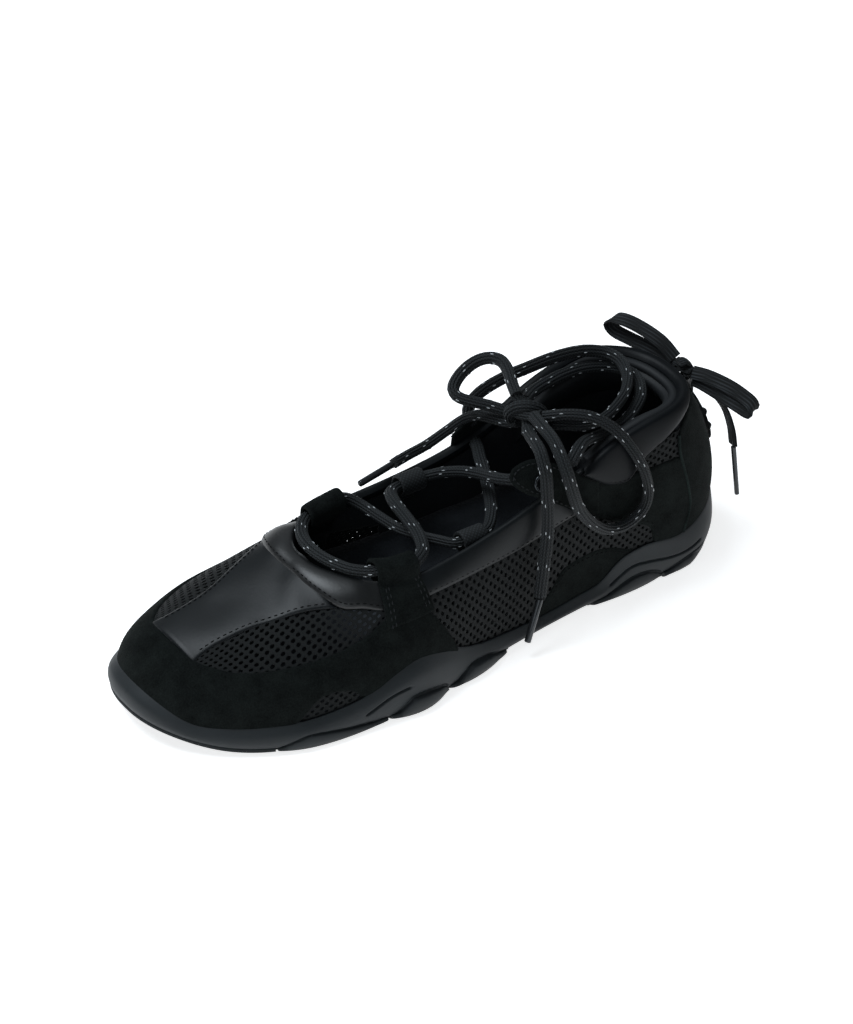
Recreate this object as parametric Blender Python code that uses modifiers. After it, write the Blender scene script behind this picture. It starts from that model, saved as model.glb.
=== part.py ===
"""Low lace-up sneaker, left shoe: rubber cup sole, hollow upper, insole, straps, loops and laces.

The shoe stands on its sole at z = 0, toe towards -Y, wearer's left side towards +X.
Every surface is worked out from one function of the last, last_points(t, angle, side).
Sizes in the tables are millimetres and become metres when a mesh is made.
"""
import math

import bmesh
import bpy
import numpy as np
from mathutils import Vector

MM = 0.001
GAP = 0.35                     # clearance between pieces that meet

LATERAL, MEDIAL = 1, -1
SIDE_NAMES = {LATERAL: "lateral", MEDIAL: "medial"}

# Driving dimensions
UPPER_LENGTH = 260.0           # feather edge, heel to toe
SOLE_LENGTH = 268.0            # outsole outline, heel to toe
WALL = 2.0                     # thickness of the upper
TOE_RECEDE = 34.0              # how far the toe slopes back from tip to crest
TOE_SWING = -6.0               # how far the toe swings to the medial side
HEEL_CAP, TOE_CAP = 0.13, 0.20  # share of the length that each rounded end takes
CAP_EXPONENT = 2.3
THROAT_FRONT = 0.735           # front of the throat, as a share of the length
THROAT_ROUND = 0.12            # length of its rounded front
RIM = 1.3                      # thickness of the sole's rim
FLOOR_DROP = 0.9               # how far the cup's floor lies under the feather edge
POD_HEIGHT = 2.45              # depth of the outsole pods
INSOLE_THICKNESS = 11.5        # footbed on its cushion, above the feather edge
STRAP = 1.6                    # thickness of the suede straps
WEB = 1.1                      # thickness of the webbing loops
TAB = 1.8                      # thickness of the ankle tabs
LACE = 4.6                     # diameter of the main lace
FLAT_LACE = 2.6                # diameter that stands for the flat heel lace
LOOP_CORD = 1.6                # diameter of the small heel loops
HEEL_LOOP_HEIGHT = 2.6         # how far the middle of a heel loop's bow stands off the heel
AGLET_RADIUS = 1.45

# One row per section of the last, heel back to toe tip
SECTION_COLUMNS = ("t", "lateral", "medial", "feather", "crest", "fullness")
SECTIONS = (
    (0.00, 29.0, 29.0, 9.5, 112.0, 2.60),
    (0.12, 31.0, 31.0, 8.0, 112.0, 2.60),
    (0.25, 31.0, 30.0, 6.0, 106.0, 2.58),
    (0.38, 33.5, 28.5, 4.8, 90.0, 2.54),
    (0.50, 38.5, 30.5, 5.6, 71.0, 2.50),
    (0.62, 44.5, 37.5, 7.0, 57.5, 2.38),
    (0.72, 46.0, 42.0, 7.2, 50.5, 2.20),
    (0.82, 44.0, 42.5, 7.3, 43.5, 2.10),
    (0.92, 38.5, 39.0, 7.1, 38.0, 2.12),
    (1.00, 35.0, 36.0, 11.2, 35.5, 2.20),
)

# Profile of the heel's back: how far it stands behind the feather edge at each height
HEEL_COLUMNS = ("z", "back")
HEEL_PROFILE = (
    (0.0, 0.0),
    (15.0, 0.5),
    (30.0, 2.5),
    (42.0, 1.0),
    (54.5, -3.0),
    (62.5, -6.5),
    (72.0, -12.5),
    (112.0, -40.0),
)

# Height of the top edge, collar back to throat front
TOPLINE_COLUMNS = ("t", "lateral", "medial")
TOPLINE = (
    (0.00, 73.0, 73.0),
    (0.06, 74.0, 74.0),
    (0.16, 73.0, 73.0),
    (0.24, 68.0, 68.0),
    (0.30, 62.0, 60.0),
    (0.38, 57.0, 53.5),
    (0.50, 51.0, 50.0),
    (0.60, 48.0, 48.0),
    (0.75, 46.0, 46.0),
)

# Outline of the sole and the height of its underside
SOLE_COLUMNS = ("t", "lateral", "medial", "bottom")
SOLE_PLAN = (
    (0.00, 33.0, 33.0, 5.6),
    (0.06, 34.0, 34.0, 3.7),
    (0.12, 34.5, 34.5, 2.8),
    (0.25, 34.5, 33.5, 2.8),
    (0.38, 37.0, 31.5, 2.4),
    (0.50, 42.5, 33.5, 2.7),
    (0.62, 49.5, 41.0, 2.8),
    (0.72, 50.0, 46.0, 2.8),
    (0.82, 48.0, 46.5, 3.0),
    (0.92, 42.0, 42.0, 3.9),
    (1.00, 38.0, 40.0, 9.8),
)

# Wave of the side wall's upper edge
EDGE_COLUMNS = ("t", "lateral", "medial")
RUBBER_EDGE = (
    (0.00, 23.0, 23.0),
    (0.05, 19.0, 19.0),
    (0.11, 16.5, 16.5),
    (0.18, 18.2, 17.5),
    (0.22, 16.2, 15.5),
    (0.26, 9.6, 10.5),
    (0.31, 7.8, 9.5),
    (0.38, 6.9, 9.0),
    (0.45, 8.6, 10.0),
    (0.52, 12.2, 12.5),
    (0.58, 18.8, 16.0),
    (0.63, 21.4, 18.0),
    (0.67, 18.8, 17.0),
    (0.72, 14.2, 14.5),
    (0.78, 11.8, 12.8),
    (0.86, 11.0, 12.0),
    (0.92, 10.9, 12.4),
    (0.96, 12.3, 14.5),
    (1.00, 19.6, 19.6),
)

# Outsole pods: where each starts and ends along the length
POD_COLUMNS = ("name", "back", "front")
PODS = (
    ("pod_heel_end", 0.000, 0.150),
    ("pod_heel", 0.165, 0.280),
    ("pod_waist", 0.460, 0.550),
    ("pod_ball", 0.565, 0.675),
    ("pod_forefoot", 0.690, 0.830),
    ("pod_toe", 0.845, 1.000),
)

# Side straps: the strap's run along the length and the height of its lower end
STRAP_COLUMNS = ("side", "back", "front", "low")
STRAPS = (
    (LATERAL, 0.593, 0.656, 36.0),
    (MEDIAL, 0.593, 0.656, 36.0),
)
TUNNEL_RADIUS = 4.0
TUNNEL_IN, TUNNEL_UP = 3.7, 4.4  # middle of the lace tunnel, from the upper's edge

# Webbing loop inside each edge of the throat
WEBBING_COLUMNS = ("side", "x", "z", "back", "front", "low")
WEBBINGS = (
    (LATERAL, 24.0, 49.4, 0.458, 0.500, 39.0),
    (MEDIAL, -18.0, 51.4, 0.458, 0.500, 41.0),
)
WEBBING_RADIUS = 3.9

# Ankle tabs: ends of the axis and the widest half width; then the outline along the axis
TAB_COLUMNS = ("side", "base_y", "base_z", "tip_y", "tip_z", "half")
TABS = (
    (LATERAL, 52.0, 60.5, 21.5, 72.5, 8.0),
    (MEDIAL, 56.0, 60.2, 28.0, 60.6, 5.8),
)
OUTLINE_COLUMNS = ("along", "lower", "upper")
TAB_OUTLINE = (
    (0.00, 0.92, 0.12),
    (0.30, 1.00, 0.78),
    (0.60, 0.98, 0.98),
    (0.80, 0.82, 0.82),
    (0.92, 0.57, 0.57),
    (1.00, 0.20, 0.20),
)
EYELET_COLUMNS = ("side", "y", "z", "radius")
EYELETS = (
    (LATERAL, 38.0, 65.2, 2.8),
    (MEDIAL, 41.0, 61.6, 2.2),
)

# Section of the collar pad: height from the top line and depth from the inner face of the wall
PAD_COLUMNS = ("down", "depth")
COLLAR_PAD = (
    (-0.6, 0.0),
    (0.7, 0.9),
    (0.9, 2.6),
    (-1.2, 4.2),
    (-8.0, 4.4),
    (-15.0, 3.0),
    (-20.0, 1.0),
    (-20.0, 0.0),
)
PAD_REACH = 0.27               # how far forward the pad runs on each side

# Main lace, from the lateral tab across the throat and back to the medial tab
LACE_CROSSINGS = (
    (19.0, 24.5, 66.0), (12.0, 24.5, 63.4), (3.0, 24.2, 60.0), (-6.0, 22.6, 56.6), (-13.4, 18.4, 53.6),
    (-17.6, 12.0, 51.6), (-18.0, 6.0, 51.4), (-17.6, 0.0, 51.6), (-14.2, -6.0, 53.0), (-5.0, -10.0, 54.6),
    (6.0, -12.0, 54.8), (16.0, -13.6, 53.6), (23.6, -17.0, 52.6), (27.6, -22.6, 52.5), (28.0, -24.6, 52.5),
    (26.2, -32.0, 52.4), (23.2, -39.6, 52.0), (22.0, -41.8, 52.0), (17.0, -46.8, 52.2), (8.0, -50.6, 52.6),
    (-1.0, -51.6, 52.6), (-9.0, -50.2, 52.5), (-16.0, -46.2, 52.2), (-20.0, -41.6, 52.0),
    (-20.6, -39.6, 52.0), (-22.2, -32.0, 52.4), (-22.9, -24.6, 52.5), (-22.0, -20.4, 51.4),
    (-17.0, -16.8, 49.2), (-8.5, -14.6, 47.9), (2.0, -12.6, 47.8), (11.0, -9.6, 48.8), (18.0, -5.6, 49.3),
    (22.6, -2.4, 49.4), (23.8, 1.2, 49.4), (24.0, 6.0, 49.4), (23.8, 10.6, 49.4), (21.6, 15.4, 49.8),
    (14.0, 22.0, 50.6), (4.0, 27.9, 50.8), (-5.0, 32.5, 51.4), (-13.6, 36.0, 53.6),
)
# The two strands that lie round the collar, from the eyelets to the knot
WRAP_FROM_MEDIAL = (
    (-30.6, 42.6, 66.6), (-29.6, 48.0, 71.6), (-27.0, 56.0, 76.0), (-25.0, 66.0, 78.2), (-23.6, 79.0, 79.4),
    (-21.6, 91.0, 79.0), (-17.0, 99.4, 77.6), (-9.5, 101.6, 76.4), (-1.0, 98.2, 75.2), (7.0, 91.0, 75.0),
    (13.6, 81.0, 75.2), (17.4, 71.6, 75.4), (17.2, 63.6, 75.6), (12.6, 57.6, 75.4), (9.2, 54.2, 75.2),
)
WRAP_FROM_LATERAL = (
    (31.2, 46.6, 72.4), (28.4, 51.6, 74.2), (24.4, 57.8, 74.0), (20.2, 66.0, 70.8), (17.8, 75.0, 68.6),
    (15.6, 84.0, 68.4), (11.6, 92.4, 69.2), (6.2, 99.4, 70.6), (-1.6, 103.8, 71.6), (-9.6, 104.6, 71.2),
    (-15.6, 99.6, 71.6), (-18.4, 90.0, 73.2), (-18.8, 80.0, 73.8), (-18.0, 71.0, 73.4), (-14.6, 61.6, 74.4),
    (-9.6, 54.6, 76.0),
)
KNOT_PLACE = (-1.0, 48.5, 75.6)
KNOT_HALF = (7.6, 6.4, 5.6)
LOOP_LEFT = (
    (-9.0, 45.6, 74.4), (-14.5, 40.6, 76.0), (-19.5, 35.4, 77.2), (-23.4, 32.2, 78.2), (-26.6, 32.0, 80.0),
    (-29.0, 35.4, 82.2), (-30.2, 40.8, 84.8), (-29.4, 46.0, 87.0), (-26.6, 50.0, 88.2), (-22.6, 52.2, 88.0),
    (-17.6, 51.8, 86.4), (-12.4, 50.0, 84.0), (-7.4, 48.6, 82.0),
)
LOOP_RIGHT = (
    (7.6, 50.4, 79.4), (13.6, 57.6, 81.0), (19.6, 65.0, 80.4), (26.0, 71.4, 76.0), (31.4, 76.2, 68.0),
    (34.2, 80.4, 58.0), (34.8, 82.6, 48.0), (35.0, 81.0, 40.8), (35.2, 75.5, 36.6), (35.2, 67.9, 35.4),
    (35.6, 60.2, 38.6), (36.2, 53.0, 45.4), (36.8, 47.0, 54.4), (37.2, 43.4, 64.0), (34.6, 41.8, 73.6),
    (25.0, 43.4, 79.8), (14.0, 45.4, 80.4), (6.6, 46.4, 81.0),
)
END_LEFT = (
    (-8.4, 44.0, 69.8), (-15.0, 42.4, 69.0), (-21.4, 40.2, 69.6), (-26.4, 37.0, 68.8), (-29.8, 31.0, 63.6),
    (-30.6, 22.0, 58.8), (-28.8, 12.4, 57.0), (-26.2, 3.6, 56.2),
)
AGLET_LEFT = ((-26.0, 2.9, 56.2), (-22.6, -15.0, 54.8))
END_RIGHT = (
    (5.6, 44.0, 71.4), (13.0, 40.2, 74.2), (21.0, 36.0, 79.4), (28.6, 34.0, 79.4), (34.0, 33.4, 70.4),
    (35.6, 33.0, 58.0), (37.2, 32.0, 48.0), (39.2, 29.4, 38.0), (41.6, 25.9, 23.6),
)
AGLET_RIGHT = ((41.7, 25.8, 22.9), (45.0, 17.8, 7.0))

# Heel lace: a run down each side of the seam through four loops, a bow and two hanging ends
HEEL_LACING = (
    (2.6, 124.2, 65.7), (4.0, 125.0, 62.6), (6.0, 127.4, 57.6), (7.6, 130.0, 51.0), (8.4, 132.0, 44.0), (6.4, 133.4, 39.4),
    (0.0, 134.0, 37.6), (-6.4, 133.4, 39.4), (-8.4, 132.0, 44.0), (-7.6, 130.0, 51.0), (-6.0, 127.4, 57.6),
    (-4.0, 125.0, 62.6), (-2.6, 124.2, 65.7),
)
HEEL_LOOP_COLUMNS = ("name", "x", "z")
HEEL_LOOPS = (
    ("heel_loop_upper_lateral", 7.2, 53.0),
    ("heel_loop_upper_medial", -7.2, 53.0),
    ("heel_loop_lower_lateral", 8.3, 45.0),
    ("heel_loop_lower_medial", -8.3, 45.0),
)
HEEL_KNOT_PLACE = (0.0, 125.0, 69.8)
HEEL_KNOT_HALF = (4.6, 3.6, 4.0)
HEEL_BOW_LATERAL = (
    (4.8, 126.4, 70.2), (11.0, 130.0, 70.0), (19.0, 134.4, 68.0), (27.0, 138.0, 64.6), (31.0, 138.6, 61.4),
    (30.4, 137.4, 58.4), (24.0, 134.4, 59.6), (15.0, 131.0, 62.6), (9.0, 128.4, 65.0), (5.2, 126.6, 66.4),
)
HEEL_BOW_MEDIAL = (
    (-5.6, 125.6, 71.6), (-12.0, 123.6, 76.0), (-20.0, 120.4, 79.4), (-28.0, 116.0, 80.6), (-33.6, 113.2, 79.4),
    (-34.8, 113.6, 76.4), (-30.0, 116.6, 75.0), (-21.0, 120.6, 74.4), (-12.0, 123.4, 71.6), (-5.8, 125.4, 68.2),
)
HEEL_END_LATERAL = (
    (2.2, 127.7, 66.6), (5.6, 132.0, 61.0), (9.4, 135.8, 53.0), (11.6, 137.4, 44.0), (12.8, 138.0, 35.6),
)
HEEL_AGLET_LATERAL = ((12.9, 138.1, 34.9), (15.4, 139.4, 12.0))


def column(rows, columns, name, at):
    """Smooth curve through one named column of a table."""
    known = np.array([row[0] for row in rows])
    value = np.array([row[columns.index(name)] for row in rows])
    slope = np.gradient(value, known)
    at = np.clip(np.asarray(at, float), known[0], known[-1])
    i = np.clip(np.searchsorted(known, at) - 1, 0, len(known) - 2)
    span = known[i + 1] - known[i]
    s = (at - known[i]) / span
    rise = (2 * s**3 - 3 * s**2 + 1) * value[i] + (3 * s**2 - 2 * s**3) * value[i + 1]
    bend = (s**3 - 2 * s**2 + s) * slope[i] + (s**3 - s**2) * slope[i + 1]
    return rise + span * bend


def end_caps(t):
    """Share of the full width left at t, rounding the heel and the toe."""
    heel = np.clip(1 - t / HEEL_CAP, 0, 1)
    toe = np.clip((t - 1 + TOE_CAP) / TOE_CAP, 0, 1)
    nearest = np.maximum(heel, toe)
    return np.maximum(1 - nearest**CAP_EXPONENT, 0) ** (1 / CAP_EXPONENT)


def centre_line(t):
    """Sideways place of the shoe's middle, which swings inwards at the toe."""
    return TOE_SWING * np.clip((t - 0.6) / 0.4, 0, 1) ** 1.5


def last_points(t, angle, side):
    """Points of the last: t from heel to toe, angle from the feather edge (0) to the crest."""
    t, angle = np.broadcast_arrays(np.asarray(t, float), np.asarray(angle, float))
    width = column(SECTIONS, SECTION_COLUMNS, SIDE_NAMES[side], t) * end_caps(t)
    feather = column(SECTIONS, SECTION_COLUMNS, "feather", t)
    crest = column(SECTIONS, SECTION_COLUMNS, "crest", t)
    power = 2 / column(SECTIONS, SECTION_COLUMNS, "fullness", t)
    across = np.cos(angle) ** power
    z = feather + (crest - feather) * np.sin(angle) ** power
    toe = np.clip((t - 0.55) / 0.45, 0, 1) ** 2
    heel = np.clip(1 - t / 0.35, 0, 1) ** 2
    y = UPPER_LENGTH * (0.5 - t) + TOE_RECEDE * (1 - across) * toe
    y = y + heel * column(HEEL_PROFILE, HEEL_COLUMNS, "back", z)
    return np.stack([side * width * across + centre_line(t), y, z], axis=-1)


def angle_at_height(t, z):
    """Section angle at which the last reaches the height z."""
    feather = column(SECTIONS, SECTION_COLUMNS, "feather", t)
    crest = column(SECTIONS, SECTION_COLUMNS, "crest", t)
    share = np.clip((z - feather) / (crest - feather), 0, 1)
    return np.arcsin(share ** (column(SECTIONS, SECTION_COLUMNS, "fullness", t) / 2))


def edge_angle(t, side):
    """Section angle of the upper's edge: the crest on the vamp, the top line behind the throat."""
    line = angle_at_height(t, column(TOPLINE, TOPLINE_COLUMNS, SIDE_NAMES[side], t))
    round_off = np.clip((THROAT_FRONT - t) / THROAT_ROUND, 0, 1)
    return math.pi / 2 - (math.pi / 2 - line) * np.sqrt(1 - (1 - round_off) ** 2)


def stations():
    """Places along the length, close together where the outline turns."""
    heel = HEEL_CAP * np.array([0, 0.035, 0.12, 0.27, 0.48, 0.74])
    middle = np.arange(HEEL_CAP, 0.60, 0.03)
    throat = THROAT_FRONT - THROAT_ROUND * np.array([0.98, 0.72, 0.48, 0.27, 0.12, 0.03, 0])
    vamp = np.linspace(THROAT_FRONT + 0.022, 1 - 0.5 * TOE_CAP, 7)
    toe = 1 - TOE_CAP * np.array([0.37, 0.26, 0.165, 0.09, 0.035, 0.008, 0])
    return np.concatenate([heel, middle, throat, vamp, toe])


STATIONS = stations()
RING_T = np.concatenate([STATIONS, STATIONS[-2:0:-1]])
RING_SIDE = np.concatenate([np.full(len(STATIONS), LATERAL), np.full(len(STATIONS) - 2, MEDIAL)])
RING = len(RING_T)


def around(values):
    """A ring of values once round the shoe, from values(t, side) of each side."""
    lateral = values(STATIONS, LATERAL)
    medial = values(STATIONS, MEDIAL)
    return np.concatenate([lateral, medial[-2:0:-1]])


def last_ring(angles):
    """Ring of points on the last, at a ring of section angles."""
    points = np.empty((RING, 3))
    for side in (LATERAL, MEDIAL):
        chosen = RING_SIDE == side
        points[chosen] = last_points(RING_T[chosen], angles[chosen], side)
    return points


def last_normals(angles):
    """Outward directions of the last at a ring of section angles."""
    step = 0.02
    here = last_ring(angles)
    along = np.roll(here, -1, axis=0) - np.roll(here, 1, axis=0)
    up = last_ring(np.clip(angles + step, 0, math.pi / 2))
    up = up - last_ring(np.clip(angles - step, 0, math.pi / 2))
    normal = np.cross(up, along)
    return normal / np.linalg.norm(normal, axis=1)[:, None]


def sole_ring(inset, height):
    """Ring on the sole's outline, moved in by inset, at a ring of heights."""
    def outline(t, side):
        width = column(SOLE_PLAN, SOLE_COLUMNS, SIDE_NAMES[side], t) * end_caps(t)
        return np.stack([side * width + centre_line(t), SOLE_LENGTH * (0.5 - t)], axis=-1)
    plan = around(outline)
    along = np.roll(plan, -1, axis=0) - np.roll(plan, 1, axis=0)
    outward = np.stack([-along[:, 1], along[:, 0]], axis=-1)
    outward /= np.linalg.norm(outward, axis=1)[:, None]
    return np.column_stack([plan - inset * outward, height])


def make_material(name, colour, roughness, metallic=0.0):
    material = bpy.data.materials.new(name)
    material.use_nodes = True
    shader = material.node_tree.nodes["Principled BSDF"]
    shader.inputs["Base Color"].default_value = (*colour, 1.0)
    shader.inputs["Roughness"].default_value = roughness
    shader.inputs["Metallic"].default_value = metallic
    return material


def add_mesh(name, points, faces, material, merge=False):
    """Mesh object from points in millimetres, with its faces pointing out."""
    mesh = bpy.data.meshes.new(name)
    mesh.from_pydata([tuple(float(value) * MM for value in point) for point in points], [], faces)
    work = bmesh.new()
    work.from_mesh(mesh)
    if merge:
        bmesh.ops.remove_doubles(work, verts=work.verts, dist=0.00002)
    bmesh.ops.recalc_face_normals(work, faces=work.faces)
    work.to_mesh(mesh)
    work.free()
    mesh.shade_smooth()
    mesh.set_sharp_from_angle(angle=math.radians(35))
    mesh.materials.append(material)
    piece = bpy.data.objects.new(name, mesh)
    SHOE.objects.link(piece)
    return piece


def ring_faces(lower, upper_row, count):
    """Quads between two rings of count points that start at the given indices."""
    faces = []
    for i in range(count):
        after = (i + 1) % count
        faces.append((lower + i, lower + after, upper_row + after, upper_row + i))
    return faces


def across_faces(start):
    """Strips across the shoe that close one ring, from the lateral to the medial side."""
    last = len(STATIONS) - 1
    faces = [(start, start + 1, start + RING - 1)]
    for i in range(1, last - 1):
        faces.append((start + i, start + i + 1, start + RING - i - 1, start + RING - i))
    faces.append((start + last - 1, start + last, start + last + 1))
    return faces


def build_closed_rings(name, rings, material):
    """Solid through rings of points, closed across the first and the last ring."""
    faces = across_faces(0)
    for row in range(len(rings) - 1):
        faces += ring_faces(row * RING, (row + 1) * RING, RING)
    faces += across_faces((len(rings) - 1) * RING)
    return add_mesh(name, np.concatenate(rings), faces, material)


def build_sole():
    """Rubber cup: a floor under the upper, a wavy rim around it and a rounded side wall."""
    edge = around(lambda t, side: column(RUBBER_EDGE, EDGE_COLUMNS, SIDE_NAMES[side], t))
    feather = around(lambda t, side: column(SECTIONS, SECTION_COLUMNS, "feather", t))
    bottom = around(lambda t, side: column(SOLE_PLAN, SOLE_COLUMNS, "bottom", t))
    rim_angle = angle_at_height(RING_T, edge)
    rings = []
    for share in (0.0, 0.25, 0.5, 0.75, 1.0):
        angles = rim_angle * share
        rings.append(last_ring(angles) + GAP * last_normals(angles))
    rings[0][:, 2] = feather - FLOOR_DROP
    rim = last_ring(rim_angle) + (GAP + RIM) * last_normals(rim_angle)
    rings.append(rim)
    for share, inset in ((0.72, 0.9), (0.40, 0.0), (0.12, 0.35), (0.0, 1.2)):
        rings.append(sole_ring(inset, bottom + share * (rim[:, 2] - bottom)))
    return build_closed_rings("sole", rings, RUBBER)


def build_pods():
    """Moulded lugs under the sole, each from side to side, with flat spots on the ground."""
    bottom = around(lambda t, side: column(SOLE_PLAN, SOLE_COLUMNS, "bottom", t))
    top = sole_ring(1.2, bottom - GAP)
    ground = sole_ring(2.2, np.maximum(bottom - GAP - POD_HEIGHT, 0))

    def at(ring, side, t):
        chosen = RING_SIDE == side
        order = np.argsort(RING_T[chosen])
        place = RING_T[chosen][order]
        return np.array([np.interp(t, place, ring[chosen][order][:, axis]) for axis in range(3)])

    for name, back, front in PODS:
        inner = [t for t in STATIONS if back + 0.004 < t < front - 0.004]
        places = [back] + inner + [front]
        points = []
        for t in places:
            for ring in (top, ground):
                tip = t in (STATIONS[0], STATIONS[-1])
                for side in (LATERAL, MEDIAL):
                    points.append(at(ring, LATERAL if tip else side, t))
        faces = []
        for i in range(len(places) - 1):
            a, b = 4 * i, 4 * i + 4
            faces += [(a, a + 1, b + 1, b), (a + 2, a + 3, b + 3, b + 2)]
            faces += [(a, a + 2, b + 2, b), (a + 1, a + 3, b + 3, b + 1)]
        end = 4 * (len(places) - 1)
        faces += [(0, 1, 3, 2), (end, end + 1, end + 3, end + 2)]
        add_mesh(name, points, faces, OUTSOLE, merge=True)


def build_insole():
    """Footbed and its cushion, lying on the cup's floor inside the wall of the upper."""
    feather = around(lambda t, side: column(SECTIONS, SECTION_COLUMNS, "feather", t))
    rings = []
    for height in (GAP - FLOOR_DROP, INSOLE_THICKNESS):
        angles = angle_at_height(RING_T, feather + height)
        ring = last_ring(angles)
        level = last_normals(angles)[:, :2]
        ring[:, :2] -= (WALL + 0.6) * level / (level**2).sum(axis=1)[:, None]
        ring[:, 2] = feather + height
        rings.append(ring)
    return build_closed_rings("insole", rings, INSOLE)


def build_upper():
    """Hollow lasted wall: rings from the feather edge to the top line, sewn along the vamp's crest."""
    rows = 9
    edge = around(edge_angle)
    points = np.concatenate([last_ring(edge * row / rows) for row in range(rows + 1)])
    faces = []
    for row in range(rows):
        faces += ring_faces(row * RING, (row + 1) * RING, RING)
    upper = add_mesh("upper", points, faces, LEATHER, merge=True)
    shell = upper.modifiers.new("wall", "SOLIDIFY")
    shell.thickness = WALL * MM
    shell.offset = -1
    shell.use_even_offset = True
    return upper


def build_sheet(name, rows, thickness, material):
    """Folded strip: a grid of points made solid on both sides of its middle."""
    count = len(rows[0])
    faces = []
    for row in range(len(rows) - 1):
        for i in range(count - 1):
            a = row * count + i
            faces.append((a, a + 1, a + count + 1, a + count))
    sheet = add_mesh(name, np.concatenate(rows), faces, material)
    solid = sheet.modifiers.new("thickness", "SOLIDIFY")
    solid.thickness = thickness * MM
    solid.offset = 0
    solid.use_even_offset = True
    return sheet


def wall_point(t, angle, side, offset):
    """Point at an offset from the outer face of the upper, outwards positive."""
    step = 0.01
    here = last_points(t, angle, side)
    along = last_points(t + step, angle, side) - last_points(t - step, angle, side)
    up = last_points(t, angle + step, side) - last_points(t, angle - step, side)
    normal = np.cross(up, along) * side
    return here + offset * normal / np.linalg.norm(normal)


def fold_points(side, x, z, y, radius, first, last, count):
    """Arc of a lace fold seen along the shoe; 0 degrees points away from the foot, 90 up."""
    turn = np.radians(np.linspace(first, last, count))
    return [np.array([x + side * radius * math.cos(a), y, z + radius * math.sin(a)]) for a in turn]


def build_straps():
    """Suede strap up the outside at the ball, folded over the edge into a tunnel for the lace."""
    for side, back, front, low in STRAPS:
        rows = []
        for t in np.linspace(back, front, 5):
            top = float(edge_angle(np.array([t]), side)[0])
            start = float(angle_at_height(np.array([t]), low)[0])
            edge = last_points(t, top, side)
            row = [wall_point(t, a, side, GAP + STRAP / 2) for a in np.linspace(start, top, 6)]
            row += fold_points(side, edge[0] - side * TUNNEL_IN, edge[2] + TUNNEL_UP, edge[1],
                               TUNNEL_RADIUS, 25, 245, 9)
            for drop in (0.10, 0.22, 0.34):
                row.append(wall_point(t, top - drop, side, -WALL - 2 * GAP - STRAP / 2))
            rows.append(np.array(row))
        build_sheet("strap_" + SIDE_NAMES[side], rows, STRAP, SUEDE)


def build_webbing_loops():
    """Woven loop inside each edge of the throat, sewn to the wall with both ends."""
    for side, x, z, back, front, low in WEBBINGS:
        rows = []
        for t in np.linspace(back, front, 4):
            top = float(angle_at_height(np.array([t]), z - 4.0)[0])
            start = float(angle_at_height(np.array([t]), low)[0])
            inner = -WALL - GAP - WEB / 2
            row = [wall_point(t, a, side, inner) for a in np.linspace(start, top, 3)]
            row += fold_points(side, x, z, row[-1][1], WEBBING_RADIUS, 0, 262, 10)
            second = inner - WEB - GAP
            row += [wall_point(t, a, side, second) for a in np.linspace(top - 0.06, start, 3)]
            rows.append(np.array(row))
        build_sheet("webbing_" + SIDE_NAMES[side], rows, WEB, WEBBING)


def build_ankle_tabs():
    """Forward end of each ankle wing, on the last's own surface, with an eyelet."""
    for side, base_y, base_z, tip_y, tip_z, half in TABS:
        base, tip = np.array([base_y, base_z]), np.array([tip_y, tip_z])
        axis = (tip - base) / np.linalg.norm(tip - base)
        across = np.array([axis[1], -axis[0]])
        rows = []
        for along in (0.0, 0.17, 0.34, 0.5, 0.65, 0.78, 0.88, 0.95, 1.0):
            lower = -half * float(column(TAB_OUTLINE, OUTLINE_COLUMNS, "lower", along))
            upper = half * float(column(TAB_OUTLINE, OUTLINE_COLUMNS, "upper", along))
            row = []
            for width in np.linspace(lower, upper, 5):
                y, z = base + (tip - base) * along + across * width
                t = 0.5 - y / UPPER_LENGTH
                angle = float(angle_at_height(np.array([t]), z)[0])
                row.append(wall_point(t, angle, side, GAP + TAB / 2))
            rows.append(np.array(row))
        build_sheet("ankle_tab_" + SIDE_NAMES[side], rows, TAB, SUEDE)
    for side, y, z, radius in EYELETS:
        bpy.ops.mesh.primitive_cylinder_add(vertices=16, radius=radius * MM, depth=0.03,
                                            location=(side * 0.028, y * MM, z * MM),
                                            rotation=(0, math.radians(90 - side * 22), 0))
        cutter = bpy.context.object
        cutter.name = "eyelet_cutter_" + SIDE_NAMES[side]
        cutter.hide_render = True
        cutter.display_type = "WIRE"
        for holder in list(cutter.users_collection):
            holder.objects.unlink(cutter)
        CUTTERS.objects.link(cutter)
        cut = SHOE.objects["ankle_tab_" + SIDE_NAMES[side]].modifiers.new("eyelet", "BOOLEAN")
        cut.operation = "DIFFERENCE"
        cut.object = cutter


def build_collar_pad():
    """Padded roll inside the collar, round the heel from one ankle to the other."""
    reach = int(np.searchsorted(STATIONS, PAD_REACH))
    order = list(range(RING - reach, RING)) + list(range(reach + 1))
    line = around(lambda t, side: column(TOPLINE, TOPLINE_COLUMNS, SIDE_NAMES[side], t))
    section = []
    for down, depth in COLLAR_PAD:
        angles = angle_at_height(RING_T, line + down)
        section.append((last_ring(angles) - (WALL + GAP + depth) * last_normals(angles))[order])
    count = len(section)
    points = np.stack(section, axis=1).reshape(-1, 3)
    faces = [tuple(range(count)), tuple(range(len(points) - count, len(points)))]
    for i in range(len(order) - 1):
        for k in range(count):
            after = (k + 1) % count
            a, b = i * count, (i + 1) * count
            faces.append((a + k, a + after, b + after, b + k))
    return add_mesh("collar_pad", points, faces, LEATHER)


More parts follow.
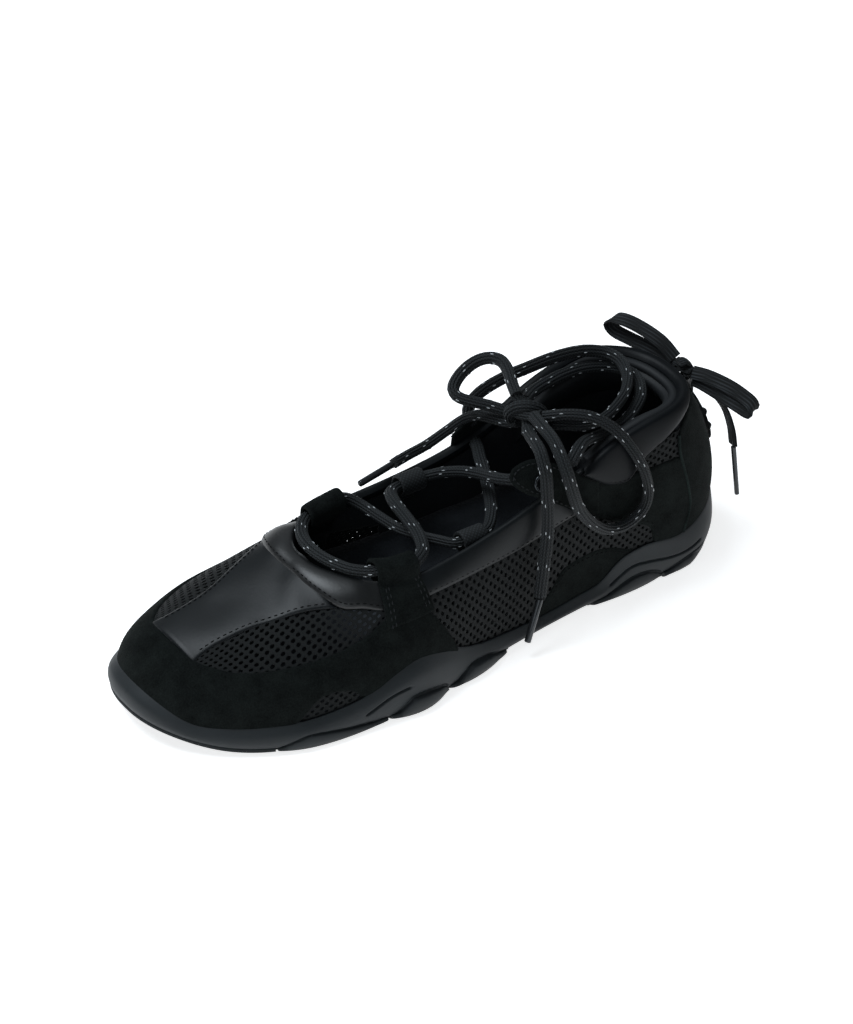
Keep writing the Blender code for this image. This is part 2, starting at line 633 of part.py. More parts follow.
def smooth_route(points, spacing):
    """Places a spacing apart on a smooth curve through a route's own points."""
    points = np.array(points, float)
    padded = np.vstack([2 * points[0] - points[1], points, 2 * points[-1] - points[-2]])
    fine = []
    for i in range(len(points) - 1):
        a, b, c, d = padded[i:i + 4]
        for s in np.linspace(0, 1, 12, endpoint=False):
            fine.append(0.5 * (2 * b + (c - a) * s + (2 * a - 5 * b + 4 * c - d) * s**2
                               + (3 * b - a - 3 * c + d) * s**3))
    fine = np.array(fine + [points[-1]])
    length = np.concatenate([[0], np.cumsum(np.linalg.norm(np.diff(fine, axis=0), axis=1))])
    places = np.linspace(0, length[-1], max(4, round(length[-1] / spacing) + 1))
    return np.column_stack([np.interp(places, length, fine[:, axis]) for axis in range(3)])


def build_cord(name, route, diameter, material, spacing=None):
    """Round cord along a route, with closed ends."""
    curve = bpy.data.curves.new(name, "CURVE")
    curve.dimensions = "3D"
    curve.bevel_depth = diameter / 2 * MM
    curve.bevel_resolution = 2
    curve.use_fill_caps = True
    line = curve.splines.new("POLY")
    points = smooth_route(route, spacing or 2 * diameter)
    line.points.add(len(points) - 1)
    for spot, point in zip(line.points, points):
        spot.co = (*(point * MM), 1.0)
    curve.materials.append(material)
    cord = bpy.data.objects.new(name, curve)
    SHOE.objects.link(cord)
    return cord


def build_knot(name, place, half, material):
    """Plain round body that stands for a tied knot."""
    mesh = bpy.data.meshes.new(name)
    work = bmesh.new()
    bmesh.ops.create_uvsphere(work, u_segments=14, v_segments=8, radius=MM)
    bmesh.ops.scale(work, vec=half, verts=work.verts)
    bmesh.ops.translate(work, vec=Vector(place) * MM, verts=work.verts)
    work.to_mesh(mesh)
    work.free()
    mesh.shade_smooth()
    mesh.materials.append(material)
    knot = bpy.data.objects.new(name, mesh)
    SHOE.objects.link(knot)
    return knot


def build_main_lace():
    """Lace through tunnels and loops, round the collar, tied in a bow with two ends."""
    build_cord("lace_crossings", LACE_CROSSINGS, LACE, CORD, spacing=6.5)
    build_cord("lace_wrap_medial", WRAP_FROM_MEDIAL, LACE, CORD)
    build_cord("lace_wrap_lateral", WRAP_FROM_LATERAL, LACE, CORD)
    build_knot("lace_knot", KNOT_PLACE, KNOT_HALF, CORD)
    build_cord("lace_loop_left", LOOP_LEFT, LACE, CORD, spacing=7.0)
    build_cord("lace_loop_right", LOOP_RIGHT, LACE, CORD)
    build_cord("lace_end_left", END_LEFT, LACE, CORD)
    build_cord("lace_end_right", END_RIGHT, LACE, CORD)
    build_cord("aglet_left", AGLET_LEFT, 2 * AGLET_RADIUS, AGLET, spacing=18)
    build_cord("aglet_right", AGLET_RIGHT, 2 * AGLET_RADIUS, AGLET, spacing=18)


def mirrored(route):
    return [(-x, y, z) for x, y, z in route]


def build_heel_lace():
    """Flat lace down the heel through four small loops, tied in a bow above them."""
    build_cord("heel_lacing", HEEL_LACING, FLAT_LACE, CORD, spacing=5.0)
    for name, x, z in HEEL_LOOPS:
        side = LATERAL if x > 0 else MEDIAL
        places = STATIONS[STATIONS < HEEL_CAP]
        ring = last_points(places, angle_at_height(places, z), side)
        y = np.interp(abs(x), np.abs(ring[:, 0]), ring[:, 1])
        half = FLAT_LACE / 2 + GAP + LOOP_CORD / 2
        stand = HEEL_LOOP_HEIGHT
        turn = np.radians(np.linspace(0, 180, 7))
        arch = [(x + half * math.cos(a), y + stand + half * math.sin(a), z) for a in turn]
        foot = GAP + LOOP_CORD / 2
        arch = [(x + half, y + foot, z)] + arch + [(x - half, y + foot, z)]
        build_cord(name, arch, LOOP_CORD, WEBBING, spacing=2.2)
    build_knot("heel_knot", HEEL_KNOT_PLACE, HEEL_KNOT_HALF, CORD)
    build_cord("heel_bow_lateral", HEEL_BOW_LATERAL, FLAT_LACE, CORD)
    build_cord("heel_bow_medial", HEEL_BOW_MEDIAL, FLAT_LACE, CORD)
    ends = ((LATERAL, HEEL_END_LATERAL, HEEL_AGLET_LATERAL),
            (MEDIAL, mirrored(HEEL_END_LATERAL), mirrored(HEEL_AGLET_LATERAL)))
    for side, route, tip in ends:
        build_cord("heel_end_" + SIDE_NAMES[side], route, FLAT_LACE, CORD)
        build_cord("heel_aglet_" + SIDE_NAMES[side], tip, 2.2, AGLET, spacing=22)


for old in list(bpy.data.objects):
    bpy.data.objects.remove(old, do_unlink=True)

SHOE = bpy.data.collections.new("lace_up_sneaker")
bpy.context.scene.collection.children.link(SHOE)
CUTTERS = bpy.data.collections.new("cutters")
bpy.context.scene.collection.children.link(CUTTERS)

RUBBER = make_material("charcoal_rubber", (0.024, 0.027, 0.029), 0.62)
OUTSOLE = make_material("outsole_rubber", (0.019, 0.021, 0.022), 0.68)
INSOLE = make_material("insole_textile", (0.030, 0.031, 0.034), 0.95)
LEATHER = make_material("black_leather", (0.012, 0.012, 0.013), 0.42)
SUEDE = make_material("black_suede", (0.011, 0.012, 0.011), 0.95)
WEBBING = make_material("black_webbing", (0.013, 0.013, 0.014), 0.85)
CORD = make_material("black_lace", (0.014, 0.014, 0.015), 0.75)
AGLET = make_material("glossy_aglet", (0.010, 0.010, 0.011), 0.15)

build_sole()
build_pods()
build_insole()
build_upper()
build_collar_pad()
build_straps()
build_webbing_loops()
build_ankle_tabs()
build_main_lace()
build_heel_lace()
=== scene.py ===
"""Black low lace-up sneaker, left shoe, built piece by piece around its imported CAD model.

The toe points to -Y, the wearer's left (lateral) side to +X, and the sole stands on z = 0.
Tables hold millimetres; a mesh gets metres when it is laid.
"""

import math

import bmesh
import bpy
import numpy as np
from mathutils import Matrix, Vector
from mathutils.bvhtree import BVHTree
from mathutils.kdtree import KDTree


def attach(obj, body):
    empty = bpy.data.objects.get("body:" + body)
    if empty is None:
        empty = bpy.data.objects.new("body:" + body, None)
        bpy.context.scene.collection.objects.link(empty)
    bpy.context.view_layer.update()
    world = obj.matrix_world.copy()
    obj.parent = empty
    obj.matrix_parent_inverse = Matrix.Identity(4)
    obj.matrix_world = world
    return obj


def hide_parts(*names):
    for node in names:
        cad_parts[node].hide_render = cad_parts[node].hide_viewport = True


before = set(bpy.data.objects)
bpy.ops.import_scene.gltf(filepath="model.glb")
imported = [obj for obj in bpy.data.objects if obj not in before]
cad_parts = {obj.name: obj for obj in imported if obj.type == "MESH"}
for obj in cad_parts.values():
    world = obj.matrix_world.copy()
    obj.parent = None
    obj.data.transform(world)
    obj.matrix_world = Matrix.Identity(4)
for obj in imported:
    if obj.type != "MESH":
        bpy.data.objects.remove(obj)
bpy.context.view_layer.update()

# Studio: a sheet of white paper as the floor, lit by large soft panels above, behind and in front.
# The camera looks down over the lateral side of the toe, as in the photograph.
VIEW_TARGET = Vector((-0.0153, 0.0118, 0.0360))
VIEW_ROLL = math.radians(0.43)
VIEW_DISTANCE = 1.6
VIEW_AZIMUTH, VIEW_ELEVATION = math.radians(55.0), math.radians(35.5)
FOCAL_PIXELS, LONG_SIDE_PIXELS, SENSOR_MM = 4071.0, 1024.0, 36.0
PAPER_HALF = 4.0
SOFTBOXES = (
    # name, place, aimed at, width, length, watts
    ("softbox_above", (-0.55, -0.50, 1.60), (0.0, 0.0, 0.03), 1.0, 1.0, 23.0),
    ("softbox_behind", (-1.30, 0.55, 1.15), (0.0, 0.0, 0.04), 0.9, 1.4, 0.9),
    ("softbox_front", (1.25, -1.30, 0.85), (0.0, 0.0, 0.04), 1.2, 1.2, 5.0),
)


def colour(hex_value):
    """Linear colour of an sRGB hex value."""
    parts = [int(hex_value[i:i + 2], 16) / 255 for i in (1, 3, 5)]
    linear = [c / 12.92 if c <= 0.04045 else ((c + 0.055) / 1.055) ** 2.4 for c in parts]
    return (*linear, 1.0)


def new_finish(name, **sockets):
    """Material whose shader takes the fixed socket values given by name."""
    finish = bpy.data.materials.new(name)
    finish.use_nodes = True
    shader = finish.node_tree.nodes["Principled BSDF"]
    for socket, value in sockets.items():
        shader.inputs[socket.replace("_", " ")].default_value = value
    return finish


back = Vector((math.cos(VIEW_ELEVATION) * math.sin(VIEW_AZIMUTH),
               -math.cos(VIEW_ELEVATION) * math.cos(VIEW_AZIMUTH), math.sin(VIEW_ELEVATION)))
lens = bpy.data.cameras.new("camera")
lens.lens = FOCAL_PIXELS / LONG_SIDE_PIXELS * SENSOR_MM
lens.sensor_width = SENSOR_MM
camera = bpy.data.objects.new("camera", lens)
camera.location = VIEW_TARGET + back * VIEW_DISTANCE
camera.rotation_euler = (-back).to_track_quat("-Z", "Y").to_euler()
camera.rotation_euler.rotate_axis("Z", VIEW_ROLL)
bpy.context.scene.collection.objects.link(camera)
bpy.context.scene.camera = camera
bpy.context.scene.view_settings.view_transform = "Standard"

for name, place, aim, width, length, watts in SOFTBOXES:
    panel_light = bpy.data.lights.new(name, "AREA")
    panel_light.shape = "RECTANGLE"
    panel_light.size, panel_light.size_y = width, length
    panel_light.energy = watts
    panel_light.color = colour("#eff8ff")[:3]
    lamp = bpy.data.objects.new(name, panel_light)
    lamp.location = place
    lamp.rotation_euler = (Vector(aim) - Vector(place)).to_track_quat("-Z", "Y").to_euler()
    bpy.context.scene.collection.objects.link(lamp)

room = bpy.data.worlds.new("white_room")
room.use_nodes = True
room.node_tree.nodes["Background"].inputs["Color"].default_value = colour("#eef6fb")
room.node_tree.nodes["Background"].inputs["Strength"].default_value = 0.15
bpy.context.scene.world = room

paper_work = bmesh.new()
bmesh.ops.create_grid(paper_work, x_segments=4, y_segments=4, size=PAPER_HALF)
paper_mesh = bpy.data.meshes.new("paper_floor")
paper_work.to_mesh(paper_mesh)
paper_work.free()
paper_mesh.materials.append(new_finish("white_paper", Base_Color=colour("#f4f4f4"), Roughness=0.9,
                                       Emission_Color=colour("#ffffff"), Emission_Strength=0.74))
paper = bpy.data.objects.new("paper_floor", paper_mesh)
bpy.context.scene.collection.objects.link(paper)

# Cup sole: one moulding of charcoal rubber with a wavy side wall that grips the upper all round.
# Its matte skin shows a fine moulded grain; curved grooves mark the lugs on the wall.
MM = 0.001
SEAM_GAP = 0.00001             # metres between edges that meet
LATERAL, MEDIAL = 1, -1
SIDES = (LATERAL, MEDIAL)
SIDE_NAMES = {LATERAL: "lateral", MEDIAL: "medial"}
CLEARANCE, RIM, WALL = 0.35, 1.3, 2.0
UPPER_LENGTH, SOLE_LENGTH = 260.0, 268.0
TOE_RECEDE, TOE_SWING = 34.0, -6.0
HEEL_CAP, TOE_CAP, CAP_EXPONENT = 0.13, 0.20, 2.3
RING_PLACES = 330
LAST = {
    "at": (0.00, 0.12, 0.25, 0.38, 0.50, 0.62, 0.72, 0.82, 0.92, 1.00),
    "lateral": (29.0, 31.0, 31.0, 33.5, 38.5, 44.5, 46.0, 44.0, 38.5, 35.0),
    "medial": (29.0, 31.0, 30.0, 28.5, 30.5, 37.5, 42.0, 42.5, 39.0, 36.0),
    "feather": (9.5, 8.0, 6.0, 4.8, 5.6, 7.0, 7.2, 7.3, 7.1, 11.2),
    "crest": (112.0, 112.0, 106.0, 90.0, 71.0, 57.5, 50.5, 43.5, 38.0, 35.5),
    "fullness": (2.60, 2.60, 2.58, 2.54, 2.50, 2.38, 2.20, 2.10, 2.12, 2.20),
}
HEEL_BACK = {
    "at": (0.0, 15.0, 30.0, 42.0, 54.5, 62.5, 72.0, 112.0),
    "back": (0.0, 0.5, 2.5, 1.0, -3.0, -6.5, -12.5, -40.0),
}
SOLE_PLAN = {
    "at": (0.00, 0.06, 0.12, 0.25, 0.38, 0.50, 0.62, 0.72, 0.82, 0.92, 1.00),
    "lateral": (33.0, 34.0, 34.5, 34.5, 37.0, 42.5, 49.5, 50.0, 48.0, 42.0, 38.0),
    "medial": (33.0, 34.0, 34.5, 33.5, 31.5, 33.5, 41.0, 46.0, 46.5, 42.0, 40.0),
    "bottom": (5.6, 3.7, 2.8, 2.8, 2.4, 2.7, 2.8, 2.8, 3.0, 3.9, 9.8),
}
RUBBER_EDGE = {
    "at": (0.00, 0.05, 0.11, 0.18, 0.22, 0.26, 0.31, 0.38, 0.45, 0.52, 0.58, 0.63, 0.67, 0.72, 0.78,
           0.86, 0.92, 0.96, 1.00),
    "lateral": (23.0, 19.0, 16.5, 18.2, 16.2, 9.6, 7.8, 6.9, 8.6, 12.2, 18.8, 21.4, 18.8, 14.2, 11.8,
                11.0, 10.9, 12.3, 19.6),
    "medial": (23.0, 19.0, 16.5, 17.5, 15.5, 10.5, 9.5, 9.0, 10.0, 12.5, 16.0, 18.0, 17.0, 14.5, 12.8,
               12.0, 12.4, 14.5, 19.6),
}
WALL_PROFILE = ((0.72, 0.9), (0.40, 0.0), (0.12, 0.35), (0.0, 1.2))   # share of the height, inset
WALL_STEPS = (2, 2, 9, 8, 7, 3)
RIM_ROWS = 5                   # rows of the rim's lip, above the wall's outer face
HEEL_SLANT, HEEL_SLANT_END = 4.2, 0.08   # how far the heel's wall slants in at its foot
# Grooves on the side wall: share of the length from the heel, share of the wall's height
WALL_GROOVES = (
    ((0.252, 0.62), (0.211, 0.65), (0.180, 0.56), (0.147, 0.47), (0.110, 0.46), (0.080, 0.50)),
    ((0.722, 0.46), (0.700, 0.56), (0.676, 0.61), (0.650, 0.58)),
    ((0.850, 0.06), (0.834, 0.28), (0.811, 0.46), (0.780, 0.34), (0.748, 0.18), (0.715, 0.08)),
    ((0.668, 0.06), (0.656, 0.20), (0.644, 0.30), (0.615, 0.27), (0.588, 0.20), (0.578, 0.08)),
    ((0.553, 0.08), (0.545, 0.20), (0.530, 0.41), (0.510, 0.47), (0.490, 0.43), (0.470, 0.18),
     (0.458, 0.06)),
    ((0.256, 0.12), (0.232, 0.26), (0.208, 0.32), (0.183, 0.28), (0.166, 0.16), (0.158, 0.06)),
    ((0.140, 0.08), (0.118, 0.19), (0.100, 0.24), (0.070, 0.25)),
)
GROOVE_DEPTH, GROOVE_HALF, GROOVE_FINE = 0.9, 0.45, 1.5


def curve(table, name, at):
    """Smooth curve through one named column of a table."""
    known, value = np.array(table["at"]), np.array(table[name])
    slope = np.gradient(value, known)
    at = np.clip(np.asarray(at, float), known[0], known[-1])
    i = np.clip(np.searchsorted(known, at) - 1, 0, len(known) - 2)
    span = known[i + 1] - known[i]
    s = (at - known[i]) / span
    rise = (2 * s**3 - 3 * s**2 + 1) * value[i] + (3 * s**2 - 2 * s**3) * value[i + 1]
    bend = (s**3 - 2 * s**2 + s) * slope[i] + (s**3 - s**2) * slope[i + 1]
    return rise + span * bend


def end_caps(t):
    """Share of the full width left at t, rounding the heel and the toe."""
    heel = np.clip(1 - t / HEEL_CAP, 0, 1)
    toe = np.clip((t - 1 + TOE_CAP) / TOE_CAP, 0, 1)
    return np.maximum(1 - np.maximum(heel, toe)**CAP_EXPONENT, 0) ** (1 / CAP_EXPONENT)


def centre_line(t):
    """Sideways place of the shoe's middle, which swings inwards at the toe."""
    return TOE_SWING * np.clip((t - 0.6) / 0.4, 0, 1) ** 1.5


def last_points(t, angle, side):
    """Points of the last: t from heel to toe, angle from the feather edge (0) to the crest."""
    t, angle = np.broadcast_arrays(np.asarray(t, float), np.asarray(angle, float))
    width = curve(LAST, SIDE_NAMES[side], t) * end_caps(t)
    feather, crest = curve(LAST, "feather", t), curve(LAST, "crest", t)
    power = 2 / curve(LAST, "fullness", t)
    across = np.cos(angle) ** power
    z = feather + (crest - feather) * np.sin(angle) ** power
    toe = np.clip((t - 0.55) / 0.45, 0, 1) ** 2
    heel = np.clip(1 - t / 0.35, 0, 1) ** 2
    y = UPPER_LENGTH * (0.5 - t) + TOE_RECEDE * (1 - across) * toe
    y = y + heel * curve(HEEL_BACK, "back", z)
    return np.stack([side * width * across + centre_line(t), y, z], axis=-1)


def angle_at_height(t, z):
    """Section angle at which the last reaches the height z."""
    feather, crest = curve(LAST, "feather", t), curve(LAST, "crest", t)
    share = np.clip((z - feather) / (crest - feather), 0, 1)
    return np.arcsin(share ** (curve(LAST, "fullness", t) / 2))


def around(values):
    """Ring of values once round the shoe, from values(t, side) of each side."""
    return np.concatenate([values(SIDE_T, LATERAL), values(SIDE_T, MEDIAL)[::-1]])


def last_ring(angles):
    """Ring of points on the last at a ring of section angles."""
    half = len(SIDE_T)
    lateral = last_points(SIDE_T, angles[:half], LATERAL)
    medial = last_points(SIDE_T, angles[half:][::-1], MEDIAL)[::-1]
    return np.concatenate([lateral, medial])


def ring_normals(angles):
    """Outward directions of the last at a ring of section angles."""
    step = 0.02
    here = last_ring(angles)
    along = np.roll(here, -2, axis=0) - np.roll(here, 2, axis=0)
    up = last_ring(np.clip(angles + step, 0, math.pi / 2))
    up = up - last_ring(np.clip(angles - step, 0, math.pi / 2))
    normal = np.cross(up, along)
    return normal / np.linalg.norm(normal, axis=1)[:, None]


def sole_outline():
    """Ring of the sole's plan and of its outward directions."""
    def plan_of(t, side):
        width = curve(SOLE_PLAN, SIDE_NAMES[side], t) * end_caps(t)
        return np.stack([side * width + centre_line(t), SOLE_LENGTH * (0.5 - t)], axis=-1)
    plan = around(plan_of)
    along = np.roll(plan, -2, axis=0) - np.roll(plan, 2, axis=0)
    outward = np.stack([-along[:, 1], along[:, 0]], axis=-1)
    return plan, outward / np.linalg.norm(outward, axis=1)[:, None]


def between(a, b, c, d, s):
    """Place a share s of the way from b to c on the smooth curve through four places."""
    return 0.5 * (2 * b + (c - a) * s + (2 * a - 5 * b + 4 * c - d) * s**2 + (3 * b - a - 3 * c + d) * s**3)


def smooth(points, spacing=None, count=None):
    """Places on a smooth curve through points, a spacing apart or a count of them."""
    points = np.array(points, float)
    if len(points) == 2:
        points = np.array([points[0], points.mean(axis=0), points[1]])
    padded = np.vstack([2 * points[0] - points[1], points, 2 * points[-1] - points[-2]])
    fine = []
    for i in range(len(points) - 1):
        fine += [between(*padded[i:i + 4], s) for s in np.linspace(0, 1, 12, endpoint=False)]
    fine = np.array(fine + [points[-1]])
    length = np.concatenate([[0], np.cumsum(np.linalg.norm(np.diff(fine, axis=0), axis=1))])
    count = count or max(4, round(length[-1] / spacing) + 1)
    places = np.linspace(0, length[-1], count)
    return np.column_stack([np.interp(places, length, fine[:, k]) for k in range(fine.shape[1])])


def lay_grid(points, size=None):
    """Grid of rows of points in millimetres; size gives its UV map the sheet's own millimetres."""
    rows, columns = points.shape[:2]
    work = bmesh.new()
    chart = work.loops.layers.uv.new("sheet")
    bmesh.ops.create_grid(work, x_segments=columns - 1, y_segments=rows - 1, size=1, calc_uvs=True)
    for vertex, place in zip(work.verts, points.reshape(-1, 3)):
        vertex.co = Vector(place) * MM
    if size:
        for face in work.faces:
            for corner in face.loops:
                corner[chart].uv = (corner[chart].uv[0] * size[0], corner[chart].uv[1] * size[1])
    return work


def make_piece(name, work, finishes, replaced=(), sharp=50):
    """Piece from a finished bmesh: smooth, with its finishes, riding on the shoe."""
    mesh = bpy.data.meshes.new(name)
    work.to_mesh(mesh)
    work.free()
    mesh.shade_smooth()
    mesh.set_sharp_from_angle(angle=math.radians(sharp))
    for finish in finishes:
        mesh.materials.append(finish)
    piece = bpy.data.objects.new(name, mesh)
    bpy.context.scene.collection.objects.link(piece)
    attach(piece, "root")
    if replaced:
        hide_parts(*replaced)
    return piece


def add_node(finish, kind, settings=None, values=None, links=None):
    """Node with its settings, fixed inputs and links."""
    node = finish.node_tree.nodes.new(kind)
    for key, value in (settings or {}).items():
        setattr(node, key, value)
    for key, value in (values or {}).items():
        node.inputs[key].default_value = value
    for key, source in (links or {}).items():
        finish.node_tree.links.new(source, node.inputs[key])
    return node


def feed(finish, **sources):
    """Links node outputs to the shader's sockets."""
    shader = finish.node_tree.nodes["Principled BSDF"]
    for socket, source in sources.items():
        finish.node_tree.links.new(source, shader.inputs[socket.replace("_", " ")])


def grain_of(finish, kind="Noise", settings=None, **values):
    """Texture node laid in the piece's own coordinates."""
    place = add_node(finish, "ShaderNodeTexCoord")
    return add_node(finish, "ShaderNodeTex" + kind, settings, values, {"Vector": place.outputs["Object"]})


def dyed(finish, dark, light, share):
    """Colour between a dark and a light dye, by a node's output."""
    return add_node(finish, "ShaderNodeMix", {"data_type": "RGBA"},
                    {6: colour(dark), 7: colour(light)}, {0: share}).outputs[2]


def raised(finish, height, strength, depth, **under):
    """Bumped normal from a height, laid over another normal if one is given."""
    return add_node(finish, "ShaderNodeBump", values={"Strength": strength, "Distance": depth},
                    links={"Height": height, **under}).outputs["Normal"]


def join_seams(work, fill=False):
    """Joins a wrapped sheet where its edges meet, fills its open ends if asked, turns its faces out."""
    bmesh.ops.remove_doubles(work, verts=work.verts, dist=SEAM_GAP)
    if fill:
        bmesh.ops.holes_fill(work, edges=[edge for edge in work.edges if edge.is_boundary])
    bmesh.ops.recalc_face_normals(work, faces=work.faces)


def of_side(label, side):
    """Name of one side's piece or node."""
    return label + "_" + SIDE_NAMES[side]


def moulded_rubber(name, dark, light, roughness):
    """Moulded rubber: dull charcoal with a fine eggshell grain and slight cloudy bloom."""
    finish = new_finish(name, IOR=1.52, Roughness=roughness, Specular_IOR_Level=0.35)
    bloom = grain_of(finish, Scale=1 / 0.014, Detail=4.0)
    grain = grain_of(finish, Scale=1 / 0.0007, Detail=2.0)
    feed(finish, Base_Color=dyed(finish, dark, light, bloom.outputs["Fac"]),
         Normal=raised(finish, grain.outputs["Fac"], 0.35, 0.00012))
    return finish


u = np.linspace(0, 1, RING_PLACES)
SIDE_T = u - 0.93 * np.sin(2 * math.pi * u) / (2 * math.pi)
RING_T = np.concatenate([SIDE_T, SIDE_T[::-1]])
rim_height = around(lambda t, side: curve(RUBBER_EDGE, SIDE_NAMES[side], t))
rim_angle = angle_at_height(RING_T, rim_height)
rim_out = ring_normals(rim_angle)
sole_bottom = around(lambda t, side: curve(SOLE_PLAN, "bottom", t))
plan, outward = sole_outline()
controls = [last_ring(rim_angle * 0.8) + CLEARANCE * ring_normals(rim_angle * 0.8)]
controls.append(last_ring(rim_angle) + CLEARANCE * rim_out)
rim_top = last_ring(rim_angle) + (CLEARANCE + 0.6 * RIM) * rim_out
rim_top[:, 2] += 0.35
controls.append(rim_top)
controls.append(last_ring(rim_angle) + (CLEARANCE + RIM) * rim_out)
rim_z = controls[-1][:, 2]
heel_end = np.clip(1 - RING_T / HEEL_SLANT_END, 0, 1)
for share, inset in WALL_PROFILE:
    tuck = inset + HEEL_SLANT * (1 - share) ** 2 * heel_end
    height = sole_bottom + share * (rim_z - sole_bottom)
    controls.append(np.column_stack([plan - tuck[:, None] * outward, height]))
stack = np.array(controls)
padded = np.concatenate([stack[:1], stack, stack[-1:]])
wall_rows = []
for k, steps in enumerate((1,) + WALL_STEPS):
    wall_rows += [between(*padded[k:k + 4], s) for s in np.linspace(0, 1, steps, endpoint=False)]
wall_rows.append(stack[-1])
wall = np.array(wall_rows)
share = (wall[:, :, 2] - sole_bottom) / (rim_z - sole_bottom)
groove_spots = []
for groove in WALL_GROOVES:
    for t, height in smooth(groove, count=150):
        place = np.interp(t, SIDE_T, np.arange(RING_PLACES))
        for column in (place, 2 * RING_PLACES - 1 - place):
            spot = np.zeros(3)
            for beside, weight in ((int(column), 1 - column % 1), (int(column) + 1, column % 1)):
                heights, column_up = share[RIM_ROWS:, beside][::-1], wall[RIM_ROWS:, beside][::-1]
                spot += weight * np.array([np.interp(height, heights, column_up[:, k]) for k in range(3)])
            groove_spots.append(spot)
groove_spots = np.array(groove_spots)
groove_tree = KDTree(len(groove_spots))
for k, spot in enumerate(groove_spots):
    groove_tree.insert(Vector(spot) * MM, k)
groove_tree.balance()
under = []
for reach in (0.8, 0.55, 0.25, 0.0):
    middle = centre_line(RING_T)
    under.append(np.column_stack([middle + (wall[-1][:, 0] - middle) * reach, wall[-1][:, 1], sole_bottom]))
work = lay_grid(np.concatenate([wall, np.array(under)]))
join_seams(work)
beside = {edge for face in work.faces for edge in face.edges
          if groove_tree.find(face.calc_center_median())[2] < GROOVE_FINE * MM}
bmesh.ops.subdivide_edges(work, edges=list(beside), cuts=2, use_grid_fill=True)
work.normal_update()
for vertex in work.verts:
    near = groove_tree.find(vertex.co)[2] / MM
    vertex.co -= vertex.normal * GROOVE_DEPTH * MM * math.exp(-(near / GROOVE_HALF) ** 2)
CHARCOAL_RUBBER = moulded_rubber("moulded_charcoal_rubber", "#15191c", "#1f2528", 0.58)
make_piece("cup_sole", work, [CHARCOAL_RUBBER], ["sole"])

# Outsole pods: harder rubber lugs moulded under the cup, each from side to side, with cut sipes.
# Their upper edges climb the side wall in low arcs, and their flat spots carry the shoe.
POD_HEIGHT = 2.45
PODS = (
    # name, extra reach on the lateral side, upper edge: share of the length, share of the wall's height
    ("pod_heel_end", 0.0, ((0.0, 0.20), (0.07, 0.21), (0.10, 0.19), (0.118, 0.14), (0.140, 0.03),
                           (0.152, 0.0))),
    ("pod_heel", 0.8, ((0.157, 0.0), (0.166, 0.11), (0.183, 0.24), (0.208, 0.28), (0.232, 0.22),
                       (0.256, 0.08),
                       (0.285, 0.0))),
    ("pod_waist", 2.0, ((0.455, 0.0), (0.470, 0.13), (0.490, 0.38), (0.510, 0.42), (0.530, 0.36),
                        (0.545, 0.15),
                        (0.556, 0.0), (0.570, 0.0))),
    ("pod_ball", 1.8, ((0.576, 0.0), (0.579, 0.07), (0.588, 0.16), (0.615, 0.23), (0.644, 0.26),
                       (0.656, 0.16),
                       (0.668, 0.03), (0.682, 0.0))),
    ("pod_forefoot", 0.4, ((0.687, 0.0), (0.715, 0.04), (0.748, 0.14), (0.780, 0.30), (0.811, 0.42),
                           (0.834, 0.24),
                           (0.850, 0.03), (0.856, 0.0))),
    ("pod_toe", 0.0, ((0.859, 0.0), (0.90, 0.0), (1.0, 0.0))),
)
POD_STAND, TOE_STAND, HEEL_TUCK, HEEL_RISE = 0.25, -0.9, 5.0, 3.0
HEEL_TUCK_END, HEEL_RISE_END, END_INSET = 0.10, 0.05, 1.1
WEB_REACH, WEB_STEP, WEB_RISE, WEB_INSET, POD_ROUND = 0.006, 1e-4, 0.7, 1.8, 0.9
SIPE_PITCH, SIPE_DEPTH, SIPE_HALF = 7.0, 1.1, 0.6
OUTSOLE_RUBBER = moulded_rubber("moulded_outsole_rubber", "#14181a", "#1d2326", 0.64)


def wall_at(t, side, lift):
    """Place on the sole's outline at t, moved outwards by lift."""
    half = len(SIDE_T)
    rows = slice(0, half) if side == LATERAL else slice(2 * half - 1, half - 1, -1)
    spot = np.array([np.interp(t, SIDE_T, plan[rows, k]) for k in (0, 1)])
    away = np.array([np.interp(t, SIDE_T, outward[rows, k]) for k in (0, 1)])
    return spot + lift * away


